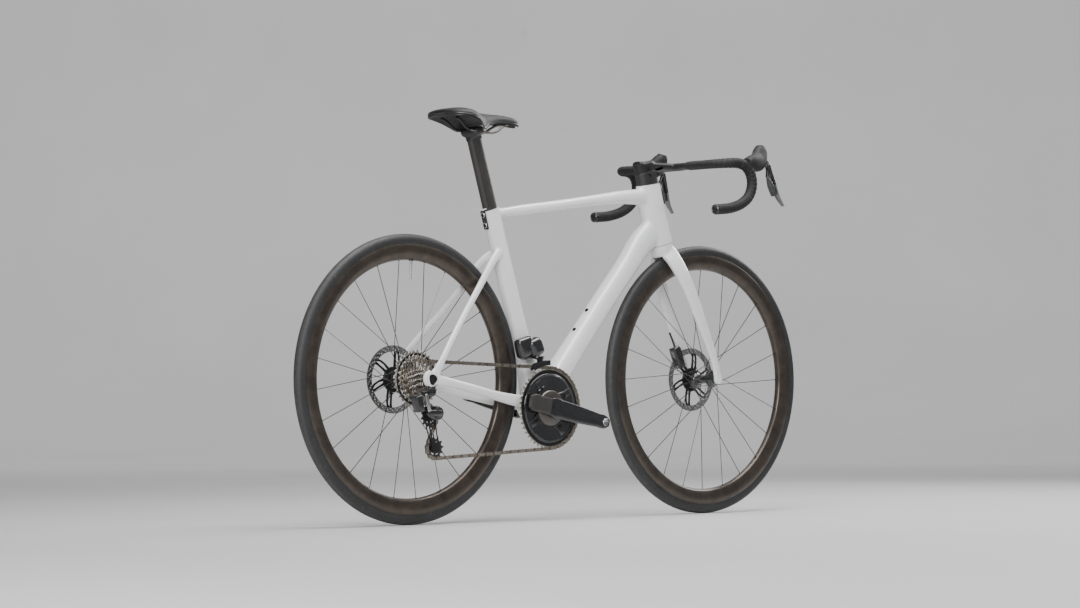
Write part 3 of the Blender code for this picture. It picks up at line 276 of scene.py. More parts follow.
def spun(name, profile, centre, axis=(0, 1, 0), steps=96, closed=False, angle=30):
    # a profile of (radius, height along the axis) spun right round
    axis, centre = Vector(axis).normalized(), Vector(centre)
    out = axis.orthogonal().normalized()
    points = [centre + axis * height + out * radius for radius, height in profile]
    edges = [(i, i + 1) for i in range(len(points) - 1)]
    if closed:
        edges.append((len(points) - 1, 0))
    mesh = bpy.data.meshes.new(name)
    mesh.from_pydata(points, edges, [])
    piece = inScene(name, mesh)
    bpy.ops.object.mode_set(mode="EDIT")
    bpy.ops.mesh.select_all(action="SELECT")
    bpy.ops.mesh.spin(steps=steps, angle=2 * pi, center=centre, axis=axis)
    bpy.ops.mesh.select_all(action="SELECT")
    bpy.ops.mesh.remove_doubles(threshold=1e-6)
    bpy.ops.mesh.normals_make_consistent(inside=False)
    bpy.ops.object.mode_set(mode="OBJECT")
    return smoothed(piece, angle)


def tube(name, runs, radius, sides=10, eased=0):
    # round wire or hose along each run of points
    curve = bpy.data.curves.new(name, "CURVE")
    curve.dimensions = "3D"
    curve.bevel_depth, curve.bevel_resolution = radius, max((sides - 4) // 2, 0)
    curve.use_fill_caps = True
    for points in runs:
        points = [tuple(p) for p in points]
        if eased:
            points = curved(points, eased)
        spline = curve.splines.new("POLY")
        spline.points.add(len(points) - 1)
        for spot, place in zip(spline.points, points):
            spot.co = (*place[:3], 1)
    inScene(name, curve)
    bpy.ops.object.convert(target="MESH")
    return smoothed(bpy.context.object, 50)


def plate(name, outlines, thickness, y, edge=0.0):
    # a flat plate square to Y, from outlines in (x, z), those inside others being holes
    curve = bpy.data.curves.new(name, "CURVE")
    curve.dimensions, curve.fill_mode = "2D", "BOTH"
    curve.extrude = thickness / 2 - edge
    curve.bevel_depth, curve.offset, curve.bevel_resolution = edge, -edge, 0
    for outline in outlines:
        spline = curve.splines.new("POLY")
        spline.use_cyclic_u = True
        spline.points.add(len(outline) - 1)
        for spot, (x, z) in zip(spline.points, outline):
            spot.co = (x, z, 0, 1)
    inScene(name, curve)
    bpy.ops.object.convert(target="MESH")
    piece = bpy.context.object
    piece.data.transform(Matrix.Translation((0, y, 0)) @ Matrix.Rotation(pi / 2, 4, "X"))
    return smoothed(facedOut(piece), 30)


def block(name, centre, size, lean=0.0, edge=0.002, segments=3):
    # a rounded block, leaned about Y
    bpy.ops.object.select_all(action="DESELECT")
    bpy.ops.mesh.primitive_cube_add(size=1, location=centre, rotation=(0, lean, 0), scale=size)
    piece = bpy.context.object
    piece.name = name
    settle(piece)
    return bevelled(piece, edge, segments) if edge else piece


def rod(name, centre, radius, length, axis=(0, 1, 0), sides=32, edge=0.0, segments=2):
    # a round bar with eased ends
    bpy.ops.object.select_all(action="DESELECT")
    rotation = Vector(axis).to_track_quat("Z", "Y").to_euler()
    bpy.ops.mesh.primitive_cylinder_add(
        vertices=sides, radius=radius, depth=length, location=centre, rotation=rotation)
    piece = bpy.context.object
    piece.name = name
    settle(piece)
    return bevelled(piece, edge, segments) if edge else smoothed(piece, 40)


def bolt(name, centre, axis, radius, height, socket=0.55, sides=28):
    # a round screw head with a six-sided socket; centre is the middle of its seat
    axis = Vector(axis).normalized()
    centre = Vector(centre)
    head = rod(name, centre + axis * (height / 2), radius, height, axis, sides, radius * 0.14)
    key = rod("key", centre + axis * height, radius * socket, height * 1.1, axis, 6)
    return smoothed(cut(head, [key]), 35)


def ringOf(x, z, radius, count, start=0.0):
    return [(x + radius * cos(start + 2 * pi * k / count), z + radius * sin(start + 2 * pi * k / count))
            for k in range(count)]


def finished(piece, material, body, nodes=()):
    settle(piece)
    piece.data.materials.clear()
    piece.data.materials.append(material)
    if isinstance(body, str):
        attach(piece, body)
    else:  # two bodies with the points where the piece leaves the first and joins the second
        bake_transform(piece)
    if nodes:
        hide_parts(*nodes)
    return piece


# shared shading groups

def newGroup(name, inputs, outputs):
    tree = bpy.data.node_groups.new(name, "ShaderNodeTree")
    for label, kind, value in inputs:
        socket = tree.interface.new_socket(name=label, in_out="INPUT", socket_type=kind)
        if value is not None:
            socket.default_value = value
    for label, kind in outputs:
        tree.interface.new_socket(name=label, in_out="OUTPUT", socket_type=kind)
    return tree, tree.nodes.new("NodeGroupInput"), tree.nodes.new("NodeGroupOutput")


def node(tree, kind, values=None, **settings):
    made = tree.nodes.new(kind)
    for key, value in settings.items():
        setattr(made, key, value)
    for key, value in (values or {}).items():
        if isinstance(value, bpy.types.NodeSocket):
            tree.links.new(value, made.inputs[key])
        else:
            made.inputs[key].default_value = value
    return made


def mixed(tree, factor, first, second):  # a colour between two, colours or sockets
    mix = node(tree, "ShaderNodeMix", {0: factor, 6: first, 7: second}, data_type="RGBA")
    return mix.outputs[2]


def ranged(tree, value, low, high, start=0.0, end=1.0):
    made = node(tree, "ShaderNodeMapRange", {0: value, 1: low, 2: high, 3: start, 4: end})
    return made.outputs[0]


def reckoned(tree, kind, first, second=0.5, third=0.5):
    made = node(tree, "ShaderNodeMath", {0: first, 1: second, 2: third}, operation=kind)
    return made.outputs[0]


def grainGroup():  # broad patches, fine grain and the bump that goes with it
    tree, inner, outer = newGroup(
        "grain",
        [("Patch size", "NodeSocketFloat", 0.05), ("Grain size", "NodeSocketFloat", 0.0006),
         ("Depth", "NodeSocketFloat", 0.00002)],
        [("Patch", "NodeSocketFloat"), ("Grain", "NodeSocketFloat"), ("Normal", "NodeSocketVector")])
    spot = node(tree, "ShaderNodeTexCoord").outputs["Object"]
    broad = reckoned(tree, "DIVIDE", 1.0, inner.outputs["Patch size"])
    close = reckoned(tree, "DIVIDE", 1.0, inner.outputs["Grain size"])
    patch = node(tree, "ShaderNodeTexNoise", {"Vector": spot, "Scale": broad, "Detail": 4, "Roughness": 0.6})
    grain = node(tree, "ShaderNodeTexNoise", {"Vector": spot, "Scale": close, "Detail": 2})
    bump = node(tree, "ShaderNodeBump", {
        "Strength": 1.0, "Distance": inner.outputs["Depth"], "Height": grain.outputs[0]})
    tree.links.new(ranged(tree, patch.outputs[0], 0.3, 0.7), outer.inputs["Patch"])
    tree.links.new(grain.outputs[0], outer.inputs["Grain"])
    tree.links.new(bump.outputs[0], outer.inputs["Normal"])
    return tree


def speckGroup():  # dust and small scuffs, sparse and soft
    tree, inner, outer = newGroup(
        "specks", [("Size", "NodeSocketFloat", 0.004), ("Cover", "NodeSocketFloat", 0.1)],
        [("Mask", "NodeSocketFloat")])
    spot = node(tree, "ShaderNodeTexCoord").outputs["Object"]
    close = reckoned(tree, "DIVIDE", 1.0, inner.outputs["Size"])
    noise = node(tree, "ShaderNodeTexNoise", {"Vector": spot, "Scale": close, "Detail": 5, "Roughness": 0.7})
    low = reckoned(tree, "SUBTRACT", 0.68, inner.outputs["Cover"])
    mask = node(tree, "ShaderNodeMapRange", {0: noise.outputs[0], 1: low, 2: 0.78})
    tree.links.new(mask.outputs[0], outer.inputs["Mask"])
    return tree


def aroundGroup():  # distance from an axle along Y
    tree, inner, outer = newGroup(
        "around", [("Centre", "NodeSocketVector", None)], [("Radius", "NodeSocketFloat")])
    spot = node(tree, "ShaderNodeTexCoord").outputs["Object"]
    away = node(tree, "ShaderNodeVectorMath", {0: spot, 1: inner.outputs["Centre"]}, operation="SUBTRACT")
    parts = node(tree, "ShaderNodeSeparateXYZ", {0: away.outputs[0]})
    x, z = parts.outputs[0], parts.outputs[2]
    flat = reckoned(tree, "ADD", reckoned(tree, "MULTIPLY", x, x), reckoned(tree, "MULTIPLY", z, z))
    tree.links.new(reckoned(tree, "SQRT", flat), outer.inputs["Radius"])
    return tree


grainTree, speckTree, aroundTree = grainGroup(), speckGroup(), aroundGroup()


def placed(tree, shared, **values):
    made = node(tree, "ShaderNodeGroup")
    made.node_tree = shared
    for key, value in values.items():
        made.inputs[key.replace("_", " ")].default_value = value
    return made


def surface(name, colour, tint, rough, spread=0.06, metal=0.0, coat=0.0, coatRough=0.05, patch=0.06,
            grain=0.0007, depth=0.00002, dust=0.06, dustColour=(0.32, 0.31, 0.29), level=0.5):
    # a finish with broad tint, grain in the roughness, fine bump and a little dust
    material = bpy.data.materials.new(name)
    material.use_nodes = True
    tree = material.node_tree
    tree.nodes.clear()
    shader = node(tree, "ShaderNodeBsdfPrincipled", {
        "Metallic": metal, "Coat Weight": coat, "Coat Roughness": coatRough, "Specular IOR Level": level})
    noise = placed(tree, grainTree, Patch_size=patch, Grain_size=grain, Depth=depth)
    specks = placed(tree, speckTree, Size=patch * 0.12, Cover=dust)
    paint = mixed(tree, noise.outputs["Patch"], (*colour, 1), (*tint, 1))
    speckle = reckoned(tree, "MULTIPLY", specks.outputs[0], 0.35)
    base = mixed(tree, speckle, paint, (*dustColour, 1))
    tree.links.new(base, shader.inputs["Base Color"])
    dull = ranged(tree, noise.outputs["Grain"], 0.25, 0.75, rough - spread, rough + spread)
    dull = reckoned(tree, "ADD", dull, reckoned(tree, "MULTIPLY", speckle, 0.25))
    dull = reckoned(tree, "ADD", dull, ranged(tree, noise.outputs["Patch"], 0, 1, -spread / 2, spread / 2))
    tree.links.new(dull, shader.inputs["Roughness"])
    tree.links.new(noise.outputs["Normal"], shader.inputs["Normal"])
    node(tree, "ShaderNodeOutputMaterial", {"Surface": shader.outputs[0]})
    return material


def shaderOf(material):
    return material.node_tree.nodes["Principled BSDF"]


def feed(material, socket, value):  # puts another value on one of the shader's sockets
    tree, goal = material.node_tree, shaderOf(material).inputs[socket]
    for link in list(goal.links):
        tree.links.remove(link)
    tree.links.new(value, goal)


def source(material, socket):  # what feeds that socket now
    return shaderOf(material).inputs[socket].links[0].from_socket


def aboutAxle(tree, centre):  # distance from an axle's line, for marks that run round it
    return placed(tree, aroundTree, Centre=tuple(centre)).outputs["Radius"]


print("tools and shading groups ready")

# finishes

pearlWhite = surface("pearlWhite", (0.86, 0.87, 0.86), (0.80, 0.81, 0.80), 0.30, coat=1.0, coatRough=0.03,
                     patch=0.25, grain=0.0004, depth=0.000004, dust=0.02)
satinCarbon = surface("satinCarbon", (0.030, 0.028, 0.027), (0.042, 0.038, 0.035), 0.40, patch=0.03,
                      grain=0.0009, depth=0.000012, dust=0.04)
glossBlack = surface("glossBlack", (0.010, 0.010, 0.011), (0.016, 0.016, 0.017), 0.22, coat=0.8,
                     coatRough=0.06, grain=0.0005, depth=0.000006, dust=0.04)
stemBlack = surface("stemBlack", (0.012, 0.012, 0.013), (0.019, 0.018, 0.018), 0.46, spread=0.05,
                    grain=0.0006, depth=0.00001, dust=0.05, level=0.35)
rimCarbon = surface("rimCarbon", (0.062, 0.050, 0.042), (0.098, 0.078, 0.064), 0.33, metal=0.75,
                    coat=0.25, coatRough=0.25, patch=0.03, grain=0.0012, depth=0.00001, dust=0.05)
mattBlack = surface("mattBlack", (0.018, 0.018, 0.019), (0.027, 0.027, 0.028), 0.48, grain=0.0005,
                    depth=0.00002, dust=0.05)
hoodRubber = surface("hoodRubber", (0.017, 0.017, 0.018), (0.025, 0.025, 0.026), 0.62, grain=0.0011,
                     depth=0.00009, level=0.3, dust=0.05)
barTape = surface("barTape", (0.014, 0.014, 0.015), (0.024, 0.024, 0.025), 0.66, grain=0.0013,
                  depth=0.00014, level=0.3, dust=0.06)
saddleSkin = surface("saddleSkin", (0.015, 0.015, 0.016), (0.023, 0.023, 0.024), 0.50, grain=0.0008,
                     depth=0.00006, dust=0.05, level=0.3)
polishedSteel = surface("polishedSteel", (0.55, 0.55, 0.54), (0.64, 0.64, 0.63), 0.24, metal=1.0,
                        grain=0.0008, depth=0.00001, dust=0.04)
brushedAlloy = surface("brushedAlloy", (0.40, 0.40, 0.41), (0.50, 0.50, 0.51), 0.34, metal=1.0,
                       grain=0.0006, depth=0.00001, dust=0.05)
leverSilver = surface("leverSilver", (0.19, 0.19, 0.195), (0.26, 0.26, 0.27), 0.30, metal=0.9,
                      grain=0.0004, depth=0.000008, dust=0.04)
spokeSteel = surface("spokeSteel", (0.085, 0.085, 0.088), (0.13, 0.13, 0.13), 0.28, metal=1.0,
                     grain=0.0005, depth=0.000006, dust=0.03)
chainSteel = surface("chainSteel", (0.36, 0.315, 0.265), (0.50, 0.45, 0.385), 0.22, metal=1.0, patch=0.02,
                     grain=0.0006, depth=0.00001, dust=0.10, dustColour=(0.05, 0.04, 0.035))
# a darker copy of the chain steel for the inner plates and rollers: painted shade inside the chain; its dark
# dust is real grime
shadedInnerLinkSteel = surface("shadedInnerLinkSteel", (0.13, 0.11, 0.09), (0.20, 0.17, 0.14), 0.34, metal=1.0, patch=0.02,
                      grain=0.0006, depth=0.00001, dust=0.10, dustColour=(0.05, 0.04, 0.035))
ringSteel = surface("ringSteel", (0.42, 0.38, 0.33), (0.54, 0.50, 0.45), 0.30, metal=1.0, patch=0.02,
                    grain=0.0006, depth=0.00001, dust=0.08, dustColour=(0.05, 0.045, 0.04))
blackAlloy = surface("blackAlloy", (0.020, 0.020, 0.022), (0.032, 0.032, 0.034), 0.36, metal=0.6,
                     grain=0.0005, depth=0.00001, dust=0.05)
crankGrey = surface("crankGrey", (0.100, 0.092, 0.084), (0.135, 0.125, 0.115), 0.38, metal=0.75,
                    grain=0.0006, depth=0.000015, dust=0.05)
darkTitanium = surface("darkTitanium", (0.20, 0.185, 0.17), (0.27, 0.25, 0.23), 0.36, metal=1.0,
                       grain=0.0005, depth=0.00001, dust=0.04)
boltBlack = surface("boltBlack", (0.014, 0.014, 0.015), (0.022, 0.022, 0.023), 0.30, metal=0.5,
                    grain=0.0004, depth=0.00001, dust=0.05)
sealRubber = surface("sealRubber", (0.022, 0.022, 0.023), (0.030, 0.030, 0.031), 0.60, grain=0.0008,
                     depth=0.00004, dust=0.05)


def tyreRubber(name, centre):  # darker smooth walls, a greyer worn tread and moulded rings
    made = surface(name, (0.018, 0.018, 0.019), (0.026, 0.026, 0.027), 0.58, grain=0.0010,
                   depth=0.00005, dust=0.08)
    tree = made.node_tree
    radius = aboutAxle(tree, centre)
    tread = ranged(tree, radius, 0.3325, 0.3368)
    scuff = placed(tree, grainTree, Patch_size=0.012, Grain_size=0.0014, Depth=0.00012)
    worn = mixed(tree, scuff.outputs["Patch"], (0.036, 0.036, 0.036, 1), (0.058, 0.057, 0.055, 1))
    feed(made, "Base Color", mixed(tree, tread, source(made, "Base Color"), worn))
    rings = reckoned(tree, "SINE", reckoned(tree, "MULTIPLY", radius, 5200))
    wall = reckoned(tree, "SUBTRACT", 1.0, tread)
    ribs = node(tree, "ShaderNodeBump", {
        "Strength": 0.35, "Distance": 0.00012, "Height": reckoned(tree, "MULTIPLY", rings, wall),
        "Normal": source(made, "Normal")})
    feed(made, "Normal", ribs.outputs[0])
    return made


def turnedMetal(name, centre, colour, tint, rough):  # fine turning or brushing marks round an axle
    made = surface(name, colour, tint, rough, metal=1.0, patch=0.02, grain=0.0005, depth=0.000008, dust=0.05)
    tree = made.node_tree
    turning = reckoned(tree, "MULTIPLY", aboutAxle(tree, centre), 2600)
    noise = node(tree, "ShaderNodeTexNoise", {"W": turning, "Scale": 1.0, "Detail": 3}, noise_dimensions="1D")
    marks = noise.outputs[0]
    feed(made, "Roughness", reckoned(
        tree, "ADD", source(made, "Roughness"), ranged(tree, marks, 0.3, 0.7, -0.08, 0.10)))
    ribs = node(tree, "ShaderNodeBump", {
        "Strength": 0.6, "Distance": 0.00002, "Height": marks, "Normal": source(made, "Normal")})
    feed(made, "Normal", ribs.outputs[0])
    return made


def toothedSteel(name, centre, edge):  # black inside a radius and bare steel teeth outside it
    made = surface(name, (0.46, 0.42, 0.37), (0.60, 0.56, 0.50), 0.26, metal=1.0, patch=0.02, grain=0.0006,
                   depth=0.00001, dust=0.06, dustColour=(0.05, 0.045, 0.04))
    tree = made.node_tree
    mask = ranged(tree, aboutAxle(tree, centre), edge - 0.0006, edge + 0.0006)
    feed(made, "Base Color", mixed(tree, mask, (0.020, 0.020, 0.021, 1), source(made, "Base Color")))
    feed(made, "Metallic", ranged(tree, mask, 0, 1, 0.5, 1.0))
    return made


ringTeethSteel = toothedSteel("ringTeethSteel", bracket, 0.0918)
cogTeethSteel = toothedSteel("cogTeethSteel", rearAxle, 0.0608)
tyreRear, tyreFront = tyreRubber("tyreRear", rearAxle), tyreRubber("tyreFront", frontAxle)
rotorTones = (0.33, 0.325, 0.32), (0.42, 0.415, 0.41)
rotorRear = turnedMetal("rotorRear", rearAxle, *rotorTones, 0.28)
rotorFront = turnedMetal("rotorFront", frontAxle, *rotorTones, 0.28)
cassetteSteel = turnedMetal("cassetteSteel", rearAxle, (0.36, 0.335, 0.31), (0.50, 0.47, 0.44), 0.24)
print("finishes made")


# frame

def mirrored(rows):
    return [(row[0], -row[1], *row[2:]) for row in rows]


def onSide(rows, across):  # rows drawn for the left side, turned over for the right
    return rows if across > 0 else mirrored(rows)


frameShape = {
    "voxel": 0.0021, "rounds": 12,
    "seat": [(0.262, 0, 0.036, 0.026), (0.300, 0, 0.033, 0.0265), (0.345, 0, 0.024, 0.026),
             (0.430, 0.002, 0.0185, 0.0235), (0.560, 0, 0.0165, 0.024), (0.660, 0, 0.0165, 0.024),
             (0.752, 0.001, 0.0165, 0.0235)],
    "head": [(0.671, 0, 0.0275, 0.0315), (0.6785, 0, 0.0275, 0.032), (0.705, -0.002, 0.027, 0.0345),
             (0.745, -0.004, 0.025, 0.0368), (0.790, -0.003, 0.0240, 0.0368), (0.825, 0, 0.0228, 0.0352),
             (0.842, 0, 0.0225, 0.0345)],
    "down": [(-0.0954, 0, 0.2614, 0.036, 0.030), (-0.050, 0, 0.3135, 0.032, 0.030),
             (0.010, 0, 0.382, 0.0265, 0.0275), (0.1452, 0, 0.5345, 0.0235, 0.0265),
             (0.230, 0, 0.628, 0.0232, 0.0275), (0.278, 0, 0.683, 0.0234, 0.0325),
             (*steerPoint(0.722), 0.0185, 0.036)],
    "top": [(-0.223, 0, 0.7345, 0.015, 0.010), (-0.1845, 0, 0.7400, 0.0155, 0.0115),
            (-0.0022, 0, 0.764, 0.0175, 0.0125), (0.1343, 0, 0.782, 0.0185, 0.0145),
            (0.228, 0, 0.7925, 0.0182, 0.018), (*steerPoint(0.795), 0.0180, 0.022)],
    "chainStay": [(-0.0874, 0.018, 0.280, 0.016, 0.019), (-0.135, 0.0275, 0.2835, 0.0095, 0.017),
                  (-0.190, 0.0315, 0.2895, 0.008, 0.0145), (-0.255, 0.040, 0.300, 0.0085, 0.012),
                  (-0.330, 0.054, 0.314, 0.0085, 0.011), (-0.405, 0.0675, 0.3265, 0.0085, 0.011),
                  (-0.455, 0.0765, 0.3345, 0.0055, 0.012), (-0.4929, 0.0765, 0.340, 0.0042, 0.013)],
    "seatStay": [(-0.180, 0.003, 0.652, 0.006, 0.017), (-0.214, 0.0105, 0.641, 0.0078, 0.0135),
                 (-0.242, 0.0195, 0.621, 0.0072, 0.0105), (-0.286, 0.029, 0.570, 0.0065, 0.009),
                 (-0.356, 0.046, 0.493, 0.006, 0.0085), (-0.423, 0.0665, 0.420, 0.006, 0.0085),
                 (-0.459, 0.0765, 0.376, 0.005, 0.0095), (-0.482, 0.0765, 0.342, 0.004, 0.014)],
    "square": {"seat": 2.4, "head": 2.2, "down": 3.0, "top": 3.0, "chainStay": 2.6, "seatStay": 2.4},
    "bracketShell": (0.0245, 0.0855), "dropout": (0.0205, 0.0098), "dropoutY": 0.0765, "webThick": 0.0090,
    "web": [(-0.4929, 0.3470), (-0.4610, 0.3735), (-0.4700, 0.3540), (-0.4640, 0.3475), (-0.4440, 0.3400),
            (-0.4929, 0.3310)],
    "softRounds": 36,
    "soft": [((0.283, 0, 0.722), 0.085), ((0.250, 0, 0.790), 0.060), ((-0.180, 0, 0.736), 0.028),
             ((-0.184, 0.006, 0.644), 0.045), ((-0.184, -0.006, 0.644), 0.045)],
    "headTop": 0.8265, "headTopWay": (-0.165, 0, 0.986), "headFoot": 0.6785, "seatTop": 0.7445,
    "tyreRoom": (0.3455, 0.0155),
}
square = frameShape["square"]
seatRows = [(*seatPoint(z, ahead), w, d) for z, ahead, w, d in frameShape["seat"]]
headRows = [(*steerPoint(z, ahead), w, d) for z, ahead, w, d in frameShape["head"]]
frameParts = [
    loft("frameShell", seatRows, 32, square["seat"]),
    loft("head", headRows, 32, square["head"]),
    loft("down", frameShape["down"], 32, square["down"]),
    loft("top", frameShape["top"], 32, square["top"]),
    rod("bracket", bracket, *frameShape["bracketShell"], sides=48),
]
for across in (1, -1):
    dropoutY = frameShape["dropoutY"] * across
    for part in ("chainStay", "seatStay"):
        frameParts.append(loft(part, onSide(frameShape[part], across), 24, square[part]))
    frameParts.append(rod("dropout", rearAxle + side * dropoutY, *frameShape["dropout"], sides=48))
    frameParts.append(plate("web", [frameShape["web"]], frameShape["webThick"], dropoutY))
frameShell = melted(joined("frameShell", frameParts), frameShape["voxel"], frameShape["rounds"])
softened(frameShell, frameShape["soft"], frameShape["softRounds"])
trimmed(frameShell, steerPoint(frameShape["headTop"]), Vector(frameShape["headTopWay"]), 0.07)
trimmed(frameShell, steerPoint(frameShape["headFoot"]), -steerWay, 0.06)
trimmed(frameShell, seatPoint(frameShape["seatTop"]), seatUp, 0.033)
clearedOf(frameShell, rearAxle, *frameShape["tyreRoom"])

dropoutShape = {
    "reach": 0.0124, "bulge": 0.0012, "bulgeTurn": 12, "longer": 1.10, "ahead": 0.0060, "below": 0.0015,
    "cutY": 0.0810, "cutDeep": 0.0060, "shadeSheetY": 0.0782, "shadeSheet": 0.0008, "shadeSheetGap": 0.0004,
    "axleEndY": 0.0784, "axleEnd": (0.0072, 0.0022), "screwAt": (-0.4945, 0.0808, 0.3590),
    "screw": (0.0022, 0.0008),
}


def recessOutline(grow):  # nearly round, drawn out a little towards the two stays
    outline = []
    for k in range(40):
        turn = 2 * pi * k / 40
        bulge = dropoutShape["bulge"] * cos(3 * (turn - radians(dropoutShape["bulgeTurn"])))
        reach = dropoutShape["reach"] + bulge + grow
        outline.append((rearAxle.x + dropoutShape["ahead"] + dropoutShape["longer"] * reach * cos(turn),
                        rearAxle.z - dropoutShape["below"] + reach * sin(turn)))
    return outline


cut(frameShell, [plate("recess", [recessOutline(0)], dropoutShape["cutDeep"], dropoutShape["cutY"] * across)
                 for across in (1, -1)])
smoothed(frameShell, 50)
# thin black sheets on the floor of each dropout recess are painted shade; the axle ends and stay screws
# joined with them are real bolts
shadeSheetOutline = recessOutline(-dropoutShape["shadeSheetGap"])
shadeSheetsAndBolts = [plate("shadeSheet", [shadeSheetOutline], dropoutShape["shadeSheet"], dropoutShape["shadeSheetY"] * across, 0.0002)
           for across in (1, -1)]
shadeSheetsAndBolts += [bolt("axleEnd", rearAxle + side * dropoutShape["axleEndY"] * across, side * across,
                 *dropoutShape["axleEnd"]) for across in (1, -1)]
for across in (1, -1):
    x, y, z = dropoutShape["screwAt"]
    shadeSheetsAndBolts.append(bolt("stayScrew", (x, y * across, z), side * across, *dropoutShape["screw"]))
finished(joined("dropoutShadeSheetsAndBolts", shadeSheetsAndBolts), boltBlack, "frame_body")

bottleShape = {
    "head": (0.0048, 0.0026), "sunk": 0.0001, "downWay": (-0.7451, 0, 0.6670),
    "down": [(0.08671, 0, 0.50839), (0.04402, 0, 0.46070)], "seat": [0.560, 0.496], "seatOut": 0.0233,
}
bossWay = Vector(bottleShape["downWay"])
bosses = [bolt("bottleBolt", Vector(spot) + bossWay * bottleShape["sunk"], bossWay, *bottleShape["head"])
          for spot in bottleShape["down"]]
bosses += [bolt("bottleBolt", seatPoint(z, bottleShape["seatOut"]), seatFront, *bottleShape["head"])
           for z in bottleShape["seat"]]
finished(joined("bottleBolts", bosses), boltBlack, "frame_body")
finished(frameShell, pearlWhite, "frame_body", ["frame"])
print("frame:", len(frameShell.data.polygons), "faces")

# fork

forkShape = {
    "voxel": 0.0019, "rounds": 14,
    "leg": [(*steerPoint(0.664, y=0.004), 0.015, 0.024), (0.3600, 0.0190, 0.652, 0.0125, 0.0245),
            (0.3665, 0.0305, 0.634, 0.0118, 0.0232), (0.3765, 0.0395, 0.611, 0.0107, 0.0215),
            (0.398, 0.047, 0.568, 0.009, 0.0195), (0.425, 0.051, 0.510, 0.0085, 0.0175),
            (0.460, 0.0545, 0.433, 0.0075, 0.014), (0.482, 0.056, 0.380, 0.0062, 0.0118),
            (0.4929, 0.056, 0.339, 0.0055, 0.012)],
    "crown": [(0.646, 0.0, 0.0215, 0.0235), (0.656, 0.0, 0.0255, 0.0285), (0.666, 0, 0.0275, 0.0305),
              (0.684, 0, 0.0275, 0.0318)],
    "dropoutY": 0.056, "dropout": (0.0125, 0.011), "softRounds": 30,
    "soft": [((0.366, 0.028, 0.645), 0.045), ((0.366, -0.028, 0.645), 0.045)],
    "top": 0.6772, "tyreRoom": (0.3465, 0.017),
}
crownRows = [(*steerPoint(z, ahead), w, d) for z, ahead, w, d in forkShape["crown"]]
forkParts = [loft("forkShell", crownRows, 32, 2.2)]
for across in (1, -1):
    forkParts.append(loft("leg", onSide(forkShape["leg"], across), 24, 2.4))
    foot = frontAxle + side * across * forkShape["dropoutY"]
    forkParts.append(rod("dropout", foot, *forkShape["dropout"], sides=32))
forkShell = melted(joined("forkShell", forkParts), forkShape["voxel"], forkShape["rounds"])
softened(forkShell, forkShape["soft"], forkShape["softRounds"])
trimmed(forkShell, steerPoint(forkShape["top"]), steerWay, 0.06)
clearedOf(forkShell, frontAxle, *forkShape["tyreRoom"])
smoothed(forkShell, 50)
finished(forkShell, pearlWhite, "steering", ["fork"])
print("fork:", len(forkShell.data.polygons), "faces")

# headset seals and spacer, then stem and bar in one piece

headsetShape = {
    "lower": (0.6779, 0.0262, 0.0305), "upper": (0.8344, 0.0180, 0.0270), "sealHalf": 0.0008,
    "spacer": [(0.8150, 0.0200, 0.0300), (0.8300, 0.0200, 0.0300), (0.844, 0.0194, 0.0292),
               (0.852, 0.0191, 0.0288), (0.8584, 0.0190, 0.0286), (0.8588, 0.0188, 0.0283)],
}
sealSpan = (-headsetShape["sealHalf"], headsetShape["sealHalf"])
for label in ("lower", "upper"):
    z, half, deep = headsetShape[label]
    ends = [(*steerPoint(z + reach), half, deep) for reach in sealSpan]
    seal = loft(f"headset_bearing_{label}_seal", ends, 32, 2.2, steps=1)
    finished(seal, sealRubber, "frame_body", ["headset_bearing_" + label])
spacerRows = [(*steerPoint(z), w, d) for z, w, d in headsetShape["spacer"]]
spacer = loft("headsetSpacer", spacerRows, 48, 2.6, steps=3)
finished(spacer, mattBlack, "steering", ["headset_spacer"])

barShape = {
    "voxel": 0.0018, "rounds": 4, "foot": 0.8593,
    "places": [(0.387, 0.030, 0.873), (0.387, 0.062, 0.874), (0.387, 0.125, 0.874),
               (0.388, 0.162, 0.874), (0.400, 0.187, 0.8745), (0.426, 0.1955, 0.8745),
               (0.447, 0.1985, 0.868), (0.4610, 0.2010, 0.8520), (0.4655, 0.2030, 0.834),
               (0.4615, 0.2055, 0.813), (0.4480, 0.208, 0.792), (0.420, 0.2105, 0.7735),
               (0.381, 0.2125, 0.7615), (0.325, 0.214, 0.7550)],
    "deep": [0.0200, 0.0200, 0.0190, 0.0160, 0.0120] + [0.0105] * 9,
    "high": [0.0098, 0.0088, 0.0088, 0.0094, 0.0102] + [0.0105] * 9,
    "middle": [(0.387, y, 0.873, 0.020, 0.010) for y in (-0.031, 0, 0.031)],
    "stem": [(0.262, 0, 0.8745, 0.0150, 0.0085), (0.296, 0, 0.8745, 0.0185, 0.0088),
             (0.330, 0, 0.874, 0.0185, 0.009), (0.360, 0, 0.8735, 0.023, 0.0095),
             (0.395, 0, 0.8735, 0.038, 0.0085)],
    "block": [(0.8560, 0.0190, 0.0286), (0.8593, 0.0190, 0.0286), (0.868, 0.0191, 0.0290),
              (0.875, 0.0196, 0.0300), (0.8800, 0.0192, 0.0296)],
    "capZ": 0.8806, "cap": (0.0125, 0.0022), "capBoltZ": 0.8811, "capBolt": (0.0050, 0.0022),
    "studZ": [0.8660, 0.8500], "studAhead": -0.004, "studY": -0.0198, "stud": (0.0034, 0.0012),
}


def barRows(across):
    rows = []
    for (x, y, z), deep, high in zip(barShape["places"], barShape["deep"], barShape["high"]):
        rows.append((x, y * across, z, deep, high))
    return rows


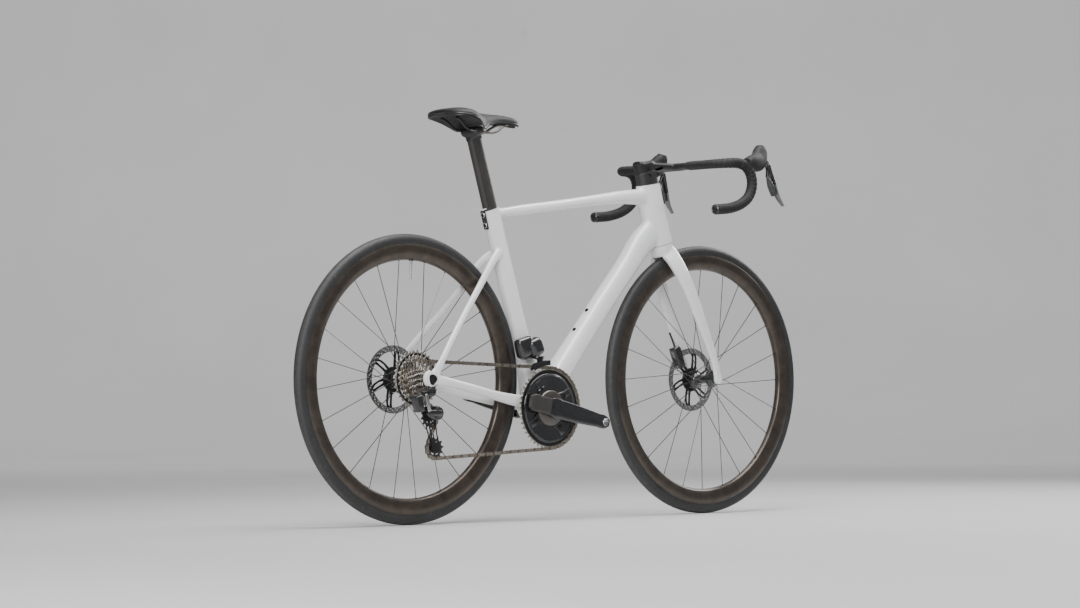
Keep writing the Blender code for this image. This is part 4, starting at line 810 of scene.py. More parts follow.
barParts = [
    loft("handlebarShell", [(*steerPoint(z), w, d) for z, w, d in barShape["block"]], 32, 2.4),
    loft("stem", barShape["stem"], 32, 2.4),
    loft("middle", barShape["middle"], 24, 2.2, across=(1, 0, 0), steps=2),
]
for across in (1, -1):
    barParts.append(loft("bar", barRows(across), 24, 2.2, across=(1, 0, 0), carried=True))
handlebarShell = melted(joined("handlebarShell", barParts), barShape["voxel"], barShape["rounds"])
trimmed(handlebarShell, steerPoint(barShape["foot"]), -steerWay, 0.05)
smoothed(handlebarShell, 50)
finished(handlebarShell, stemBlack, "steering", ["handlebar"])
print("bar and stem:", len(handlebarShell.data.polygons), "faces")

topCap = rod("steererCap", steerPoint(barShape["capZ"]), *barShape["cap"], steerWay, 40, 0.0008)
topBolt = bolt("steererBolt", steerPoint(barShape["capBoltZ"]), steerWay, *barShape["capBolt"])
studs = [bolt("stud", steerPoint(z, barShape["studAhead"], barShape["studY"]), -side, *barShape["stud"])
         for z in barShape["studZ"]]
finished(joined("steererStuds", studs), boltBlack, "steering")
finished(joined("steererCap", [topCap, topBolt]), boltBlack, "steering")

# wound bar tape: a sleeve whose turns overlap in low steps

tapeShape = {"pitch": 0.0112, "grow": 0.0014, "step": 0.0015, "sides": 28, "firstPlace": 1, "steps": 24}
plugShape = {
    "end": (0.3236, 0.214, 0.7549), "way": (1, 0, 0.1), "face": (0.0130, 0.0042), "faceOut": 0.0016,
    "core": (0.0094, 0.024), "coreIn": 0.010, "rimOut": 0.0037,
    "rim": [(0.0088, 0.0), (0.0099, 0.0009), (0.0110, 0.0), (0.0099, -0.0009)],
}


def wound(name, across):
    rows = curved(barRows(across)[tapeShape["firstPlace"]:], tapeShape["steps"])
    spots = [0.0]
    for a, b in zip(rows, rows[1:]):
        spots.append(spots[-1] + math.dist(a[:3], b[:3]))
    sides = tapeShape["sides"]
    sleeve = loft(name, rows, sides, 2.1, across=(1, 0, 0), steps=1, carried=True)
    for k, (row, spot) in enumerate(zip(rows, spots)):
        fade = min(1.0, spot / 0.006 + 0.35)
        for j in range(sides):
            vertex = sleeve.data.vertices[k * sides + j]
            turn = (spot / tapeShape["pitch"] + across * j / sides) % 1.0
            lift = tapeShape["grow"] + tapeShape["step"] * (1 - turn) ** 0.7
            vertex.co += (vertex.co - Vector(row[:3])).normalized() * lift * fade
    return smoothed(sleeve, 60)


for across, name in ((1, "left"), (-1, "right")):
    finished(wound("barTape_" + name, across), barTape, "steering", ["bar_tape_" + name])
    x, y, z = plugShape["end"]
    end, way = Vector((x, y * across, z)), plugShape["way"]
    plug = rod("plug", end - Vector((plugShape["faceOut"], 0, 0)), *plugShape["face"], way, 48, 0.0016, 4)
    core = rod("core", end + Vector((plugShape["coreIn"], 0, 0)), *plugShape["core"], way, 24)
    rim = spun("plugRim", plugShape["rim"], end - Vector((plugShape["rimOut"], 0, 0)), way, 40, closed=True)
    finished(joined("barEndPlug_" + name, [plug, core, rim]), glossBlack, "steering",
             ["bar_end_plug_" + name])

# hoods, levers and shift paddles

gripShape = {
    "hood": [(0.4500, 0.1985, 0.8770, 0.0150, 0.0110), (0.4690, 0.1965, 0.8780, 0.0168, 0.0180),
             (0.4880, 0.1915, 0.8790, 0.0172, 0.0225), (0.5070, 0.1855, 0.8840, 0.0168, 0.0245),
             (0.5205, 0.1790, 0.8985, 0.0162, 0.0220), (0.5275, 0.1740, 0.9130, 0.0150, 0.0178),
             (0.5295, 0.1715, 0.9235, 0.0112, 0.0108)],
    "blade": [(0.5385, 0.1845, 0.8860, 0.006, 0.004), (0.5430, 0.1850, 0.8750, 0.008, 0.005),
              (0.5480, 0.1865, 0.8580, 0.0085, 0.0048), (0.5590, 0.1900, 0.8270, 0.009, 0.0035),
              (0.5690, 0.1925, 0.7990, 0.0085, 0.003), (0.5880, 0.1950, 0.7745, 0.005, 0.0025)],
    "pivot": [(0.5425, 0.1858, 0.8690, 0.0050, 0.0036), (0.5388, 0.1880, 0.8570, 0.0044, 0.0032),
              (0.5352, 0.1902, 0.8455, 0.0046, 0.0031)],
    "paddle": [(0.5350, 0.1900, 0.8480, 0.0035, 0.002), (0.5430, 0.1945, 0.8230, 0.011, 0.002),
               (0.5530, 0.1965, 0.7980, 0.0095, 0.0018)],
}
for across, name in ((1, "left"), (-1, "right")):
    rows = {key: onSide(value, across) for key, value in gripShape.items()}
    hood = melted(loft("leverHood_" + name, rows["hood"], 32, 2.3, steps=6), 0.0014, 3)
    finished(hood, hoodRubber, "steering", ["lever_hood_" + name])
    upper = loft("leverArm_" + name, rows["blade"][1:4], 24, 3.4, steps=6)
    pivot = loft("pivot", rows["pivot"], 24, 2.6, steps=4)
    finished(joined("leverArm_" + name, [upper, pivot]), glossBlack, "lever_" + name, ["brake_lever_" + name])
    lower = loft("leverTip_" + name, curved(rows["blade"][3:], 6), 24, 2.6, steps=1)
    cap = loft("cap", rows["blade"][:2], 24, 3.0, steps=4)
    finished(joined("leverMetal_" + name, [lower, cap]), leverSilver, "lever_" + name)
    paddle = loft("shiftPaddle_" + name, rows["paddle"], 24, 2.6, steps=6)
    finished(paddle, glossBlack, "paddle_" + name, ["shift_paddle_" + name])
print("bar, tape, hoods and levers made")

# seat post, its wedge, saddle clamp and rails

postShape = {
    "heights": [0.700, 0.75, 0.80, 0.85, 0.9095], "half": 0.0122, "deep": 0.0200, "ahead": 0.0003,
    "grooveZ": 0.827, "grooveAhead": -0.0122, "grooveY": 0.0113, "groove": (0.0012, 0.0034, 0.1650),
    "clamp": [(0.9090, 0.0124, 0.0202), (0.9130, 0.0134, 0.0198), (0.9175, 0.0165, 0.0180),
              (0.9215, 0.0270, 0.0185), (0.9240, 0.0290, 0.0190), (0.9330, 0.0290, 0.0190),
              (0.9350, 0.0280, 0.0180), (0.9365, 0.0255, 0.0165)],
    "screwX": -0.258, "screwY": 0.018, "screwZ": 0.9265, "screwWay": (0.2, 0, -1), "screw": (0.0042, 0.0030),
}
postRows = [(*seatPoint(z, postShape["ahead"]), postShape["half"], postShape["deep"])
            for z in postShape["heights"]]
post = loft("seatpostShell", postRows, 48, 2.3, steps=2)
grooveSpots = [seatPoint(postShape["grooveZ"], postShape["grooveAhead"], postShape["grooveY"] * across)
               for across in (1, -1)]
cut(post, [block("groove", spot, postShape["groove"], seatLean, 0.0003) for spot in grooveSpots])
finished(smoothed(post, 40), satinCarbon, "saddle_post", ["seatpost"])
clampRows = [(*seatPoint(z, postShape["ahead"]), w, d) for z, w, d in postShape["clamp"]]
clamp = loft("saddleClamp", clampRows, 48, 3.2, steps=3)
finished(clamp, mattBlack, "saddle_post", ["saddle_clamp"])

railShape = {
    "path": [(-0.362, 0.0275, 0.9565), (-0.345, 0.025, 0.948), (-0.329, 0.0225, 0.935),
             (-0.316, 0.022, 0.930), (-0.229, 0.022, 0.930), (-0.212, 0.019, 0.940),
             (-0.196, 0.014, 0.948), (-0.182, 0.006, 0.9495)],
    "nose": (-0.1795, 0.0, 0.9497), "tailPoints": 4, "radius": 0.0034, "tailRadius": 0.0035,
}
front = railShape["path"][railShape["tailPoints"] - 1:]
rails = tube("saddleRails", [front + [railShape["nose"]] + mirrored(front[::-1])], railShape["radius"], 16, 5)
finished(rails, darkTitanium, "saddle_post", ["saddle_rails"])
tails = [onSide(railShape["path"][:railShape["tailPoints"]], across) for across in (1, -1)]
finished(tube("saddleRailTails", tails, railShape["tailRadius"], 16, 5), blackAlloy, "saddle_post")
screws = [bolt("screw", (postShape["screwX"], postShape["screwY"] * across, postShape["screwZ"]),
               postShape["screwWay"], *postShape["screw"]) for across in (-1, 1)]
finished(joined("saddleClampScrews", screws), polishedSteel, "saddle_post")

wedgeShape = {
    "lipZ": 0.7428, "lipAhead": -0.0270, "lip": (0.0130, 0.0200, 0.0022),
    "plateZ": 0.7180, "plateAhead": -0.0262, "plate": (0.0045, 0.0150, 0.046),
    "boltZ": [0.7300, 0.7060], "boltAhead": -0.0282, "bolt": (0.0044, 0.0018),
    "ring": [(0.0050, 0.0), (0.0066, 0.0), (0.0068, 0.0010), (0.0060, 0.0018), (0.0050, 0.0016)],
}
seat = seatPoint(wedgeShape["lipZ"], wedgeShape["lipAhead"])
lip = block("seatLip", seat, wedgeShape["lip"], seatLean, 0.0007)
finished(lip, pearlWhite, "frame_body")
seat = seatPoint(wedgeShape["plateZ"], wedgeShape["plateAhead"])
wedge = block("seatWedge", seat, wedgeShape["plate"], seatLean, 0.0018)
faces = [seatPoint(z, wedgeShape["boltAhead"]) for z in wedgeShape["boltZ"]]
bolts = [bolt("bolt", face, -seatFront, *wedgeShape["bolt"]) for face in faces]
rings = [spun("ring", wedgeShape["ring"], face, -seatFront, 40, closed=True) for face in faces]
finished(joined("seatWedge", [wedge] + bolts), mattBlack, "frame_body", ["seat_clamp_wedge"])
finished(joined("seatWedgeRings", rings), polishedSteel, "frame_body")

# saddle

saddleShape = {  # rows of x, half width, crown height and edge height
    "rows": [(-0.392, 0.028, 0.9735, 0.970), (-0.387, 0.047, 0.976, 0.9690),
             (-0.374, 0.063, 0.9795, 0.9675), (-0.356, 0.070, 0.9820, 0.9655),
             (-0.340, 0.0705, 0.982, 0.9620), (-0.3225, 0.067, 0.980, 0.9560),
             (-0.309, 0.060, 0.9775, 0.9480), (-0.294, 0.0505, 0.975, 0.9395),
             (-0.284, 0.0455, 0.974, 0.9405), (-0.272, 0.0405, 0.973, 0.9475),
             (-0.250, 0.033, 0.972, 0.9545), (-0.220, 0.026, 0.9725, 0.9580),
             (-0.190, 0.0225, 0.971, 0.9575), (-0.165, 0.019, 0.968, 0.9560),
             (-0.150, 0.013, 0.963, 0.9540), (-0.1455, 0.007, 0.960, 0.9535)],
    "columns": 33, "taper": 0.0006, "bow": 2.6, "shoulder": 0.55,
    "cover": {"drop": 0.0012, "thick": 0.0058}, "shell": {"drop": 0.0080, "thick": 0.0022, "inset": 0.0010},
    "pressure": 4.0, "swell": 0.0018,
    "channel": {"from": -0.375, "to": -0.20, "fade": 0.03, "deep": 0.0034, "half": 0.0085},
    "rimIn": 0.0006, "rimDrop": 0.0046, "rimRadius": 0.0013,
}


def saddleSkinMesh(name, drop, thick, inset=0.0):
    # arched sections from edge to edge, drop below the crown, closed by a second skin underneath
    dense = curved(saddleShape["rows"], 4)
    rows, columns = len(dense), saddleShape["columns"]
    vertices, faces = [], []
    for layer in (0, 1):
        for x, half, crown, edge in dense:
            half = half - inset - layer * saddleShape["taper"]
            for j in range(columns):
                t = -1 + 2 * j / (columns - 1)
                bend = max(0.0, 1 - abs(t) ** saddleShape["bow"]) ** saddleShape["shoulder"]
                vertices.append((x, half * t, edge + (crown - edge) * bend - drop - layer * thick))
    upper = lambda i, j: i * columns + j
    lower = lambda i, j: (rows + i) * columns + j
    endRow, endColumn = rows - 1, columns - 1
    for i in range(endRow):
        for j in range(endColumn):
            faces.append((upper(i, j), upper(i + 1, j), upper(i + 1, j + 1), upper(i, j + 1)))
            faces.append((lower(i, j), lower(i, j + 1), lower(i + 1, j + 1), lower(i + 1, j)))
        faces.append((upper(i, 0), lower(i, 0), lower(i + 1, 0), upper(i + 1, 0)))
        closing = upper(i, endColumn), upper(i + 1, endColumn), lower(i + 1, endColumn), lower(i, endColumn)
        faces.append(closing)
    for j in range(endColumn):
        faces.append((upper(0, j), upper(0, j + 1), lower(0, j + 1), lower(0, j)))
        faces.append((upper(endRow, j), lower(endRow, j), lower(endRow, j + 1), upper(endRow, j + 1)))
    mesh = bpy.data.meshes.new(name)
    mesh.from_pydata(vertices, [], faces)
    return smoothed(facedOut(inScene(name, mesh), merge=False), 60)


def puffed(piece, held, pressure, limit):  # air pressure fills the pad, and no point moves past the limit
    group = piece.vertex_groups.new(name="held")
    group.add(held, 1, "REPLACE")
    cloth = piece.modifiers.new("puff", "CLOTH")
    cloth.settings.use_pressure = True
    cloth.settings.uniform_pressure_force = pressure
    cloth.settings.vertex_group_mass = "held"
    cloth.settings.effector_weights.gravity = 0
    cloth.point_cache.frame_end = 20
    for number in range(1, 21):
        bpy.context.scene.frame_set(number)
    swollen = piece.evaluated_get(bpy.context.evaluated_depsgraph_get()).data.vertices
    spots = [vertex.co.copy() for vertex in swollen]
    for vertex, spot in zip(piece.data.vertices, spots):
        shift = spot - vertex.co
        vertex.co += shift * min(1.0, limit / max(shift.length, 1e-9))
    piece.modifiers.clear()
    piece.vertex_groups.clear()
    bpy.context.scene.frame_set(1)
    return piece


saddleCover = saddleSkinMesh("saddleCover", **saddleShape["cover"])
topCount, columns = len(saddleCover.data.vertices) // 2, saddleShape["columns"]
held = [vertex.index for vertex in saddleCover.data.vertices
        if vertex.index >= topCount or vertex.index % columns in (0, columns - 1)]
puffed(saddleCover, held, saddleShape["pressure"], saddleShape["swell"])
channel = saddleShape["channel"]
for vertex in saddleCover.data.vertices[:topCount]:  # the pressed channel down the middle
    behind, before = vertex.co.x - channel["from"], channel["to"] - vertex.co.x
    if behind > 0 and before > 0:
        ease = min(1.0, behind / channel["fade"], before / channel["fade"])
        vertex.co.z -= channel["deep"] * ease * math.exp(-(vertex.co.y / channel["half"]) ** 4)
subdivide = saddleCover.modifiers.new("round", "SUBSURF")
subdivide.levels = subdivide.render_levels = 1
applyModifiers(saddleCover)
finished(saddleCover, saddleSkin, "saddle_post", ["saddle_cover"])
saddleShell = saddleSkinMesh("saddleShell", **saddleShape["shell"])
finished(saddleShell, mattBlack, "saddle_post", ["saddle_shell"])
rim = [(x, half - saddleShape["rimIn"], edge - saddleShape["rimDrop"])
       for x, half, _, edge in saddleShape["rows"]]
rimPath = rim + mirrored(rim[::-1])
saddleRim = tube("saddleRim", [rimPath + rimPath[:1]], saddleShape["rimRadius"], 8, 4)
finished(saddleRim, glossBlack, "saddle_post")
print("post and saddle made")

# wheels

wheelShape = {
    "spokes": 12, "lead": 52, "wire": 0.00095, "nipple": 0.0014, "nippleSpan": (-0.0035, 0.004),
    "rimSeat": 0.2795, "rimShare": 0.1,  # where spokes end, and the share of the flange's offset kept there
    "tyre": {"centre": 0.3252, "high": 0.0138, "wide": 0.0140, "sweep": 112, "beads": (0.3150, 0.0122)},
    "rim": [(0.3154, 0.0126, 0), (0.3130, 0.0136, 0), (0.3015, 0.0146, 0), (0.2900, 0.0125, 0),
            (0.2810, 0.0078, 0), (0.2772, 0.0, 0)],
    "front": {"left": (0.022, 0.0215, 0.0), "right": (-0.034, 0.019, 14.2)},
    "rear": {"left": (0.034, 0.0215, 5.0), "right": (-0.019, 0.024, 20.0)},
}
valveShape = {
    "rear": 88, "front": 101, "seat": 0.2790,
    "stem": [(0.0, -0.004), (0.0030, -0.004), (0.0030, 0.018), (0.0026, 0.0185), (0.0026, 0.034),
             (0.0014, 0.035), (0.0014, 0.040), (0.0021, 0.0402), (0.0021, 0.0455), (0.0, 0.046)],
    "nut": [(0.0030, -0.0005), (0.0058, -0.0005), (0.0056, 0.0030), (0.0030, 0.0034)],
}
hubShape = {
    "front": [(0.0, -0.0485), (0.0085, -0.0485), (0.0095, -0.0475), (0.0095, -0.043), (0.0135, -0.040),
              (0.0165, -0.0372), (0.0205, -0.0362), (0.0212, -0.0350), (0.0212, -0.0330), (0.0200, -0.0318),
              (0.0150, -0.0300), (0.0118, -0.0240), (0.0108, -0.0100), (0.0110, 0.0060), (0.0135, 0.0150),
              (0.0190, 0.0196), (0.0232, 0.0206), (0.0236, 0.0218), (0.0236, 0.0236), (0.0224, 0.0246),
              (0.0170, 0.0262), (0.0165, 0.0380), (0.0150, 0.0400), (0.0105, 0.0420), (0.0098, 0.0475),
              (0.0088, 0.0485), (0.0, 0.0485)],
    "rear": [(0.0, -0.0695), (0.0088, -0.0695), (0.0098, -0.0685), (0.0100, -0.0670), (0.0155, -0.0668),
             (0.0160, -0.0250), (0.0235, -0.0218), (0.0258, -0.0206), (0.0262, -0.0194), (0.0260, -0.0176),
             (0.0246, -0.0166), (0.0180, -0.0140), (0.0150, -0.0040), (0.0145, 0.0120), (0.0160, 0.0250),
             (0.0200, 0.0312), (0.0232, 0.0326), (0.0236, 0.0338), (0.0236, 0.0356), (0.0222, 0.0368),
             (0.0172, 0.0384), (0.0168, 0.0535), (0.0150, 0.0570), (0.0110, 0.0600), (0.0100, 0.0685),
             (0.0088, 0.0695), (0.0, 0.0695)],
}


def tyreProfile():
    shape, outline = wheelShape["tyre"], []
    for k in range(-16, 17):
        angle = radians(shape["sweep"]) * k / 16
        outline.append((shape["centre"] + shape["high"] * cos(angle), shape["wide"] * sin(angle)))
    bead, half = shape["beads"]
    return outline + [(bead, half), (bead, -half)]


def rimProfile():
    half = curved(wheelShape["rim"], 5)
    return [(r, y) for r, y, _ in half] + [(r, -y) for r, y, _ in reversed(half[:-1])]


def spokeRun(centre, flangeY, flangeR, rimAngle, hubAngle):
    outward = Vector((cos(rimAngle), 0, sin(rimAngle)))
    rim = centre + outward * wheelShape["rimSeat"] + side * flangeY * wheelShape["rimShare"]
    hub = centre + Vector((cos(hubAngle), 0, sin(hubAngle))) * flangeR + side * flangeY
    return [hub, rim]


def wheel(label, centre, body, tyreFinish):
    tyre = spun(label + "TyreShell", tyreProfile(), centre, steps=180, closed=True, angle=60)
    finished(tyre, tyreFinish, body, [label + "_tyre"])
    rim = spun(label + "RimShell", rimProfile(), centre, steps=180, closed=True, angle=50)
    finished(rim, rimCarbon, body, [label + "_rim"])
    inner, outer = wheelShape["nippleSpan"]
    for hand, (y, radius, first) in wheelShape[label].items():
        runs, nipples = [], []
        for k in range(wheelShape["spokes"]):
            rimAngle = radians(first + 30 * k)
            lead = radians(wheelShape["lead"]) * (1 if k % 2 else -1)
            run = spokeRun(centre, y, radius, rimAngle, rimAngle + lead)
            runs.append(run)
            along = (run[1] - run[0]).normalized()
            nipples.append([run[1] + along * inner, run[1] + along * outer])
        wires = tube(f"{label}Spokes_{hand}", runs, wheelShape["wire"], 6)
        finished(wires, spokeSteel, body, [f"{label}_spokes_{hand}"])
        finished(tube(f"{label}Nipples_{hand}", nipples, wheelShape["nipple"], 8), blackAlloy, body)
    angle = radians(valveShape[label])
    inward = Vector((-cos(angle), 0, -sin(angle)))
    seat = centre - inward * valveShape["seat"]
    finished(spun(label + "Valve", valveShape["stem"], seat, inward, 20), polishedSteel, body)
    nut = spun(label + "ValveNut", valveShape["nut"], seat, inward, 24, closed=True)
    finished(nut, boltBlack, body)


wheel("rear", rearAxle, "rear_wheel", tyreRear)
wheel("front", frontAxle, "front_wheel", tyreFront)
for label, centre in (("front", frontAxle), ("rear", rearAxle)):
    hub = spun(label + "HubShell", hubShape[label], centre, steps=64, angle=35)
    finished(hub, glossBlack, label + "_wheel", [label + "_hub"])
print("wheels and hubs made")

# disc rotors

rotorShape = {
    "outer": 0.080, "inner": 0.0655, "thick": 0.0018, "arms": 6, "turns": 30, "rear": 0.0555, "front": 0.040,
    "holes": [(0.0690, 0.0, 0.0018), (0.0728, 0.07, 0.0018), (0.0765, 0.14, 0.0015)],  # reach, lead, radius
    "pair": [(0.0, 0.30), (0.36, 0.42)], "armThick": 0.0026,  # angles of each pair's foot and tip
    "arm": [(0.0285, 0, 0.0034), (0.0440, 1, 0.0022), (0.0580, 2, 0.0024), (0.0665, 3, 0.0036)],
    "core": (0.0300, 0.0205, 0.0042), "lock": (0.0200, 0.0188, 0.0135, 0.0052),
}


def armOf(x, z, first, second):  # one slim arm from the hub to the braking band
    outline = [(reach, (first * (3 - third) + second * third) / 3, half)
               for reach, third, half in rotorShape["arm"]]
    left = [(x + r * cos(t) - h * sin(t), z + r * sin(t) + h * cos(t)) for r, t, h in outline]
    right = [(x + r * cos(t) + h * sin(t), z + r * sin(t) - h * cos(t)) for r, t, h in reversed(outline)]
    return left + right


def starOf(x, z, outer, inner, points):  # the notched edge of a lockring
    outline = []
    for k in range(points):
        for lead, reach in ((0, outer), (0.45, outer), (0.5, inner), (0.95, inner)):
            turn = 2 * pi * (k + lead) / points
            outline.append((x + reach * cos(turn), z + reach * sin(turn)))
    return outline


def rotor(label, centre, body, finish):
    x, y, z = centre.x, rotorShape[label], centre.z
    outlines = [ringOf(x, z, rotorShape["outer"], 120), ringOf(x, z, rotorShape["inner"], 96)]
    for k in range(rotorShape["turns"]):  # staggered rows of round holes
        turn = 2 * pi * k / rotorShape["turns"]
        for reach, lead, radius in rotorShape["holes"]:
            outlines.append(ringOf(x + reach * cos(turn + lead), z + reach * sin(turn + lead), radius, 10))
    band = plate(label + "RotorBand", outlines, rotorShape["thick"], y)
    arms = []
    for k in range(rotorShape["arms"]):
        turn = 2 * pi * k / rotorShape["arms"]
        arms += [plate("arm", [armOf(x, z, turn + foot, turn + tip)], rotorShape["armThick"], y)
                 for foot, tip in rotorShape["pair"]]
    outer, inner, thick = rotorShape["core"]
    core = plate("core", [ringOf(x, z, outer, 60), ringOf(x, z, inner, 48)], thick, y, 0.0004)
    finished(band, finish, body, [label + "_disc_rotor"])
    finished(joined(label + "RotorCarrier", [core] + arms), blackAlloy, body)
    outer, inner, bore, thick = rotorShape["lock"]
    star = starOf(x, z, outer, inner, 20)
    lock = plate(label + "RotorLockring", [star, ringOf(x, z, bore, 40)], thick, y, 0.0004)
    finished(lock, blackAlloy, body)


rotor("rear", rearAxle, "rear_wheel", rotorRear)
rotor("front", frontAxle, "front_wheel", rotorFront)
print("rotors made")

# chain route

pitch = 0.0127
chainLine, gearY = -0.0475, -0.0381
knuckle = Vector((-0.464, 0, 0.260))
cageShape = {
    "length": 0.0835, "guideAt": (0.002, 0, -0.008), "guessed": 12, "range": (-15, 35),
    "outer": (-0.0441, 0.0020, 0.0175, 0.0125), "inner": (-0.0323, 0.0016, 0.0160, 0.0115),
    "waist": [(0.022, 0.72), (0.050, 0.78)],  # distance along, share of the wide and of the narrow end
}
teethOf = {"ring": 48, "sprocket": 21, "guide": 12, "tension": 12}
wheelsInTurn = ("ring", "sprocket", "guide", "tension")


def pitchRadius(teeth):
    return pitch / (2 * sin(pi / teeth))


turnOf = {name: pitchRadius(teeth) * (-1 if name == "guide" else 1) for name, teeth in teethOf.items()}


def tangent(first, firstTurn, second, secondTurn):  # straight run between two wheels in (x, z)
    gap = Vector((second[0] - first[0], second[1] - first[1]))
    angle = math.atan2(gap.y, gap.x) + math.acos((secondTurn - firstTurn) / gap.length)
    normal = Vector((cos(angle), sin(angle)))
    return Vector(first) - normal * firstTurn, Vector(second) - normal * secondTurn


def wheelCentres(cageAngle):
    guide = knuckle + Vector(cageShape["guideAt"])
    tension = knuckle + Vector((sin(cageAngle), 0, -cos(cageAngle))) * cageShape["length"]
    places = zip(wheelsInTurn, (bracket, rearAxle, guide, tension))
    return {name: Vector((place.x, place.z)) for name, place in places}


def chainRoute(cageAngle):  # straight runs, then where each wheel is met and how far the chain wraps it
    centres = wheelCentres(cageAngle)
    runs, wraps = [], {}
    for name, after in zip(wheelsInTurn, wheelsInTurn[1:] + wheelsInTurn[:1]):
        runs.append(tangent(centres[name], turnOf[name], centres[after], turnOf[after]))
    for i, name in enumerate(wheelsInTurn):
        arrive, leave = runs[i - 1][1] - centres[name], runs[i][0] - centres[name]
        start = math.atan2(arrive.y, arrive.x)
        turn = math.atan2(leave.y, leave.x) - start
        turn = turn % (2 * pi) if turnOf[name] > 0 else -((-turn) % (2 * pi))
        wraps[name] = (start, turn)
    return centres, runs, wraps


def chainCount(cageAngle):
    _, runs, wraps = chainRoute(cageAngle)
    straight = sum((end - start).length / pitch for start, end in runs)
    return straight + sum(abs(turn) * teethOf[name] / (2 * pi) for name, (_, turn) in wraps.items())


def settledCage():  # the cage hangs where the chain holds an even number of links
    wanted = 2 * round(chainCount(radians(cageShape["guessed"])) / 2)
    low, high = (radians(angle) for angle in cageShape["range"])
    rising = chainCount(high) > chainCount(low)
    for _ in range(60):
        mid = (low + high) / 2
        if (chainCount(mid) > wanted) == rising:
            high = mid
        else:
            low = mid
    return (low + high) / 2, wanted


cageAngle, links = settledCage()
centres, runs, wraps = chainRoute(cageAngle)
wheelY = {"ring": chainLine, "sprocket": gearY, "guide": gearY, "tension": gearY}


def chainPins():  # each pin as (place, which stretch it is on), and the phase of each wheel's teeth
    pins, phases, walked = [], {}, 0.0
    stretches = []
    for i, name in enumerate(wheelsInTurn):
        stretches.append(("wrap", name, abs(wraps[name][1]) * teethOf[name] / (2 * pi)))
        stretches.append(("run", i, (runs[i][1] - runs[i][0]).length / pitch))
    for kind, which, length in stretches:
        for pin in range(math.ceil(walked - 1e-9), math.ceil(walked + length - 1e-9)):
            along = pin - walked
            if kind == "wrap":
                start, turn = wraps[which]
                angle = start + along * 2 * pi / teethOf[which] * (1 if turn > 0 else -1)
                phases.setdefault(which, angle)
                spot = centres[which] + Vector((cos(angle), sin(angle))) * abs(turnOf[which])
                place = Vector((spot.x, wheelY[which], spot.y))
            else:
                spot = runs[which][0].lerp(runs[which][1], along / length)
                share = min(max((along - 2) / max(length - 4, 1), 0), 1)
                y = wheelY[wheelsInTurn[which]] * (1 - share) + wheelY[wheelsInTurn[(which + 1) % 4]] * share
                place = Vector((spot.x, y, spot.y))
            pins.append((place, f"{kind} {which}"))
        walked += length
    return pins[:links], phases


pins, phases = chainPins()
linkShape = {
    "outer": {"y": 0.00235, "half": 0.0046, "joint": "pin", "radius": 0.0018, "length": 0.0061,
              "sides": 10},
    "inner": {"y": 0.0014, "half": 0.0042, "joint": "roller", "radius": 0.0038, "length": 0.0022,
              "sides": 14},
    "plate": 0.00085, "waist": 0.70,
}


def linkPlate(half):  # side plate of one link, waisted between its two round ends
    outline = []
    for end in (1, -1):
        for k in range(7):
            angle = -pi / 2 * end + pi * k / 6
            outline.append((pitch / 2 * end + half * cos(angle), half * sin(angle)))
        outline.append((0, half * linkShape["waist"] * end))
    return outline


def linkModel(kind):
    shape = linkShape[kind]
    parts = [plate("side", [linkPlate(shape["half"])], linkShape["plate"], y * shape["y"]) for y in (-1, 1)]
    for x in (-pitch / 2, pitch / 2):
        parts.append(rod(shape["joint"], (x, 0, 0), shape["radius"], shape["length"], sides=shape["sides"]))
    return joined("link", parts)


def onRun(number, share, y):  # a point that far along one of the chain's four straight runs
    spot = runs[number][0].lerp(runs[number][1], share)
    return Vector((spot.x, y, spot.y))


meeting = onRun(3, 0.40, gearY)  # where the lower run's two halves meet
inCage = onRun(0, 0.125, chainLine)  # where the upper run passes the front cage
linkModels = {"outer": linkModel("outer"), "inner": linkModel("inner")}
chainGroups = {}
for i in range(links):
    (first, here), (second, there) = pins[i], pins[(i + 1) % links]
    ahead = (second - first).normalized()
    up = Vector((-ahead.z, 0, ahead.x)).normalized()
    place = Matrix((ahead, up.cross(ahead), up)).transposed().to_4x4()
    place.translation = (first + second) / 2
    group = "wrap tension" if "tension" in here and "tension" in there else here
    if group == "run 3":
        group = "run 3 rear" if place.translation.x < meeting.x else "run 3 front"
    if group == "run 0":
        group = "run 0 front" if place.translation.x > inCage.x else "run 0 rear"
    kind = "inner" if i % 2 else "outer"
    chainGroups.setdefault((group, kind), []).append(copied(linkModels[kind], "link", place))
chainPlan = [  # name, stretches, and the body or the two bodies that carry them
    ("chainWraps", ["wrap ring", "wrap sprocket"], "frame_body"),
    ("chainTop", ["run 0 rear"], ("frame_body", "front_mech", onRun(0, 0.6, gearY), inCage)),
    ("chainFront", ["run 0 front"], ("frame_body", "front_mech", onRun(0, 0, chainLine), inCage)),
    ("chainDrop", ["run 1"], ("frame_body", "rear_mech_knuckle", onRun(1, 0.30, gearY), onRun(1, 1, gearY))),
    ("chainTension", ["wrap guide", "run 2", "wrap tension"], "rear_mech_cage"),
    ("chainReturn", ["run 3 rear"], ("rear_mech_knuckle", "rear_mech_cage", meeting, onRun(3, 0, gearY))),
    ("chainLower", ["run 3 front"], ("frame_body", "rear_mech_knuckle", onRun(3, 1, chainLine), meeting)),
]
for name, groups, body in chainPlan:
    for kind, ending, steel in (("outer", "Outer", chainSteel), ("inner", "Inner", shadedInnerLinkSteel)):
        picked = [link for group in groups for link in chainGroups.get((group, kind), [])]
        finished(joined(name + ending, picked), steel, body, ["chain"])
for model in linkModels.values():
    bpy.data.objects.remove(model, do_unlink=True)
print("chain:", links, "links")

# sprockets, chainrings and crank


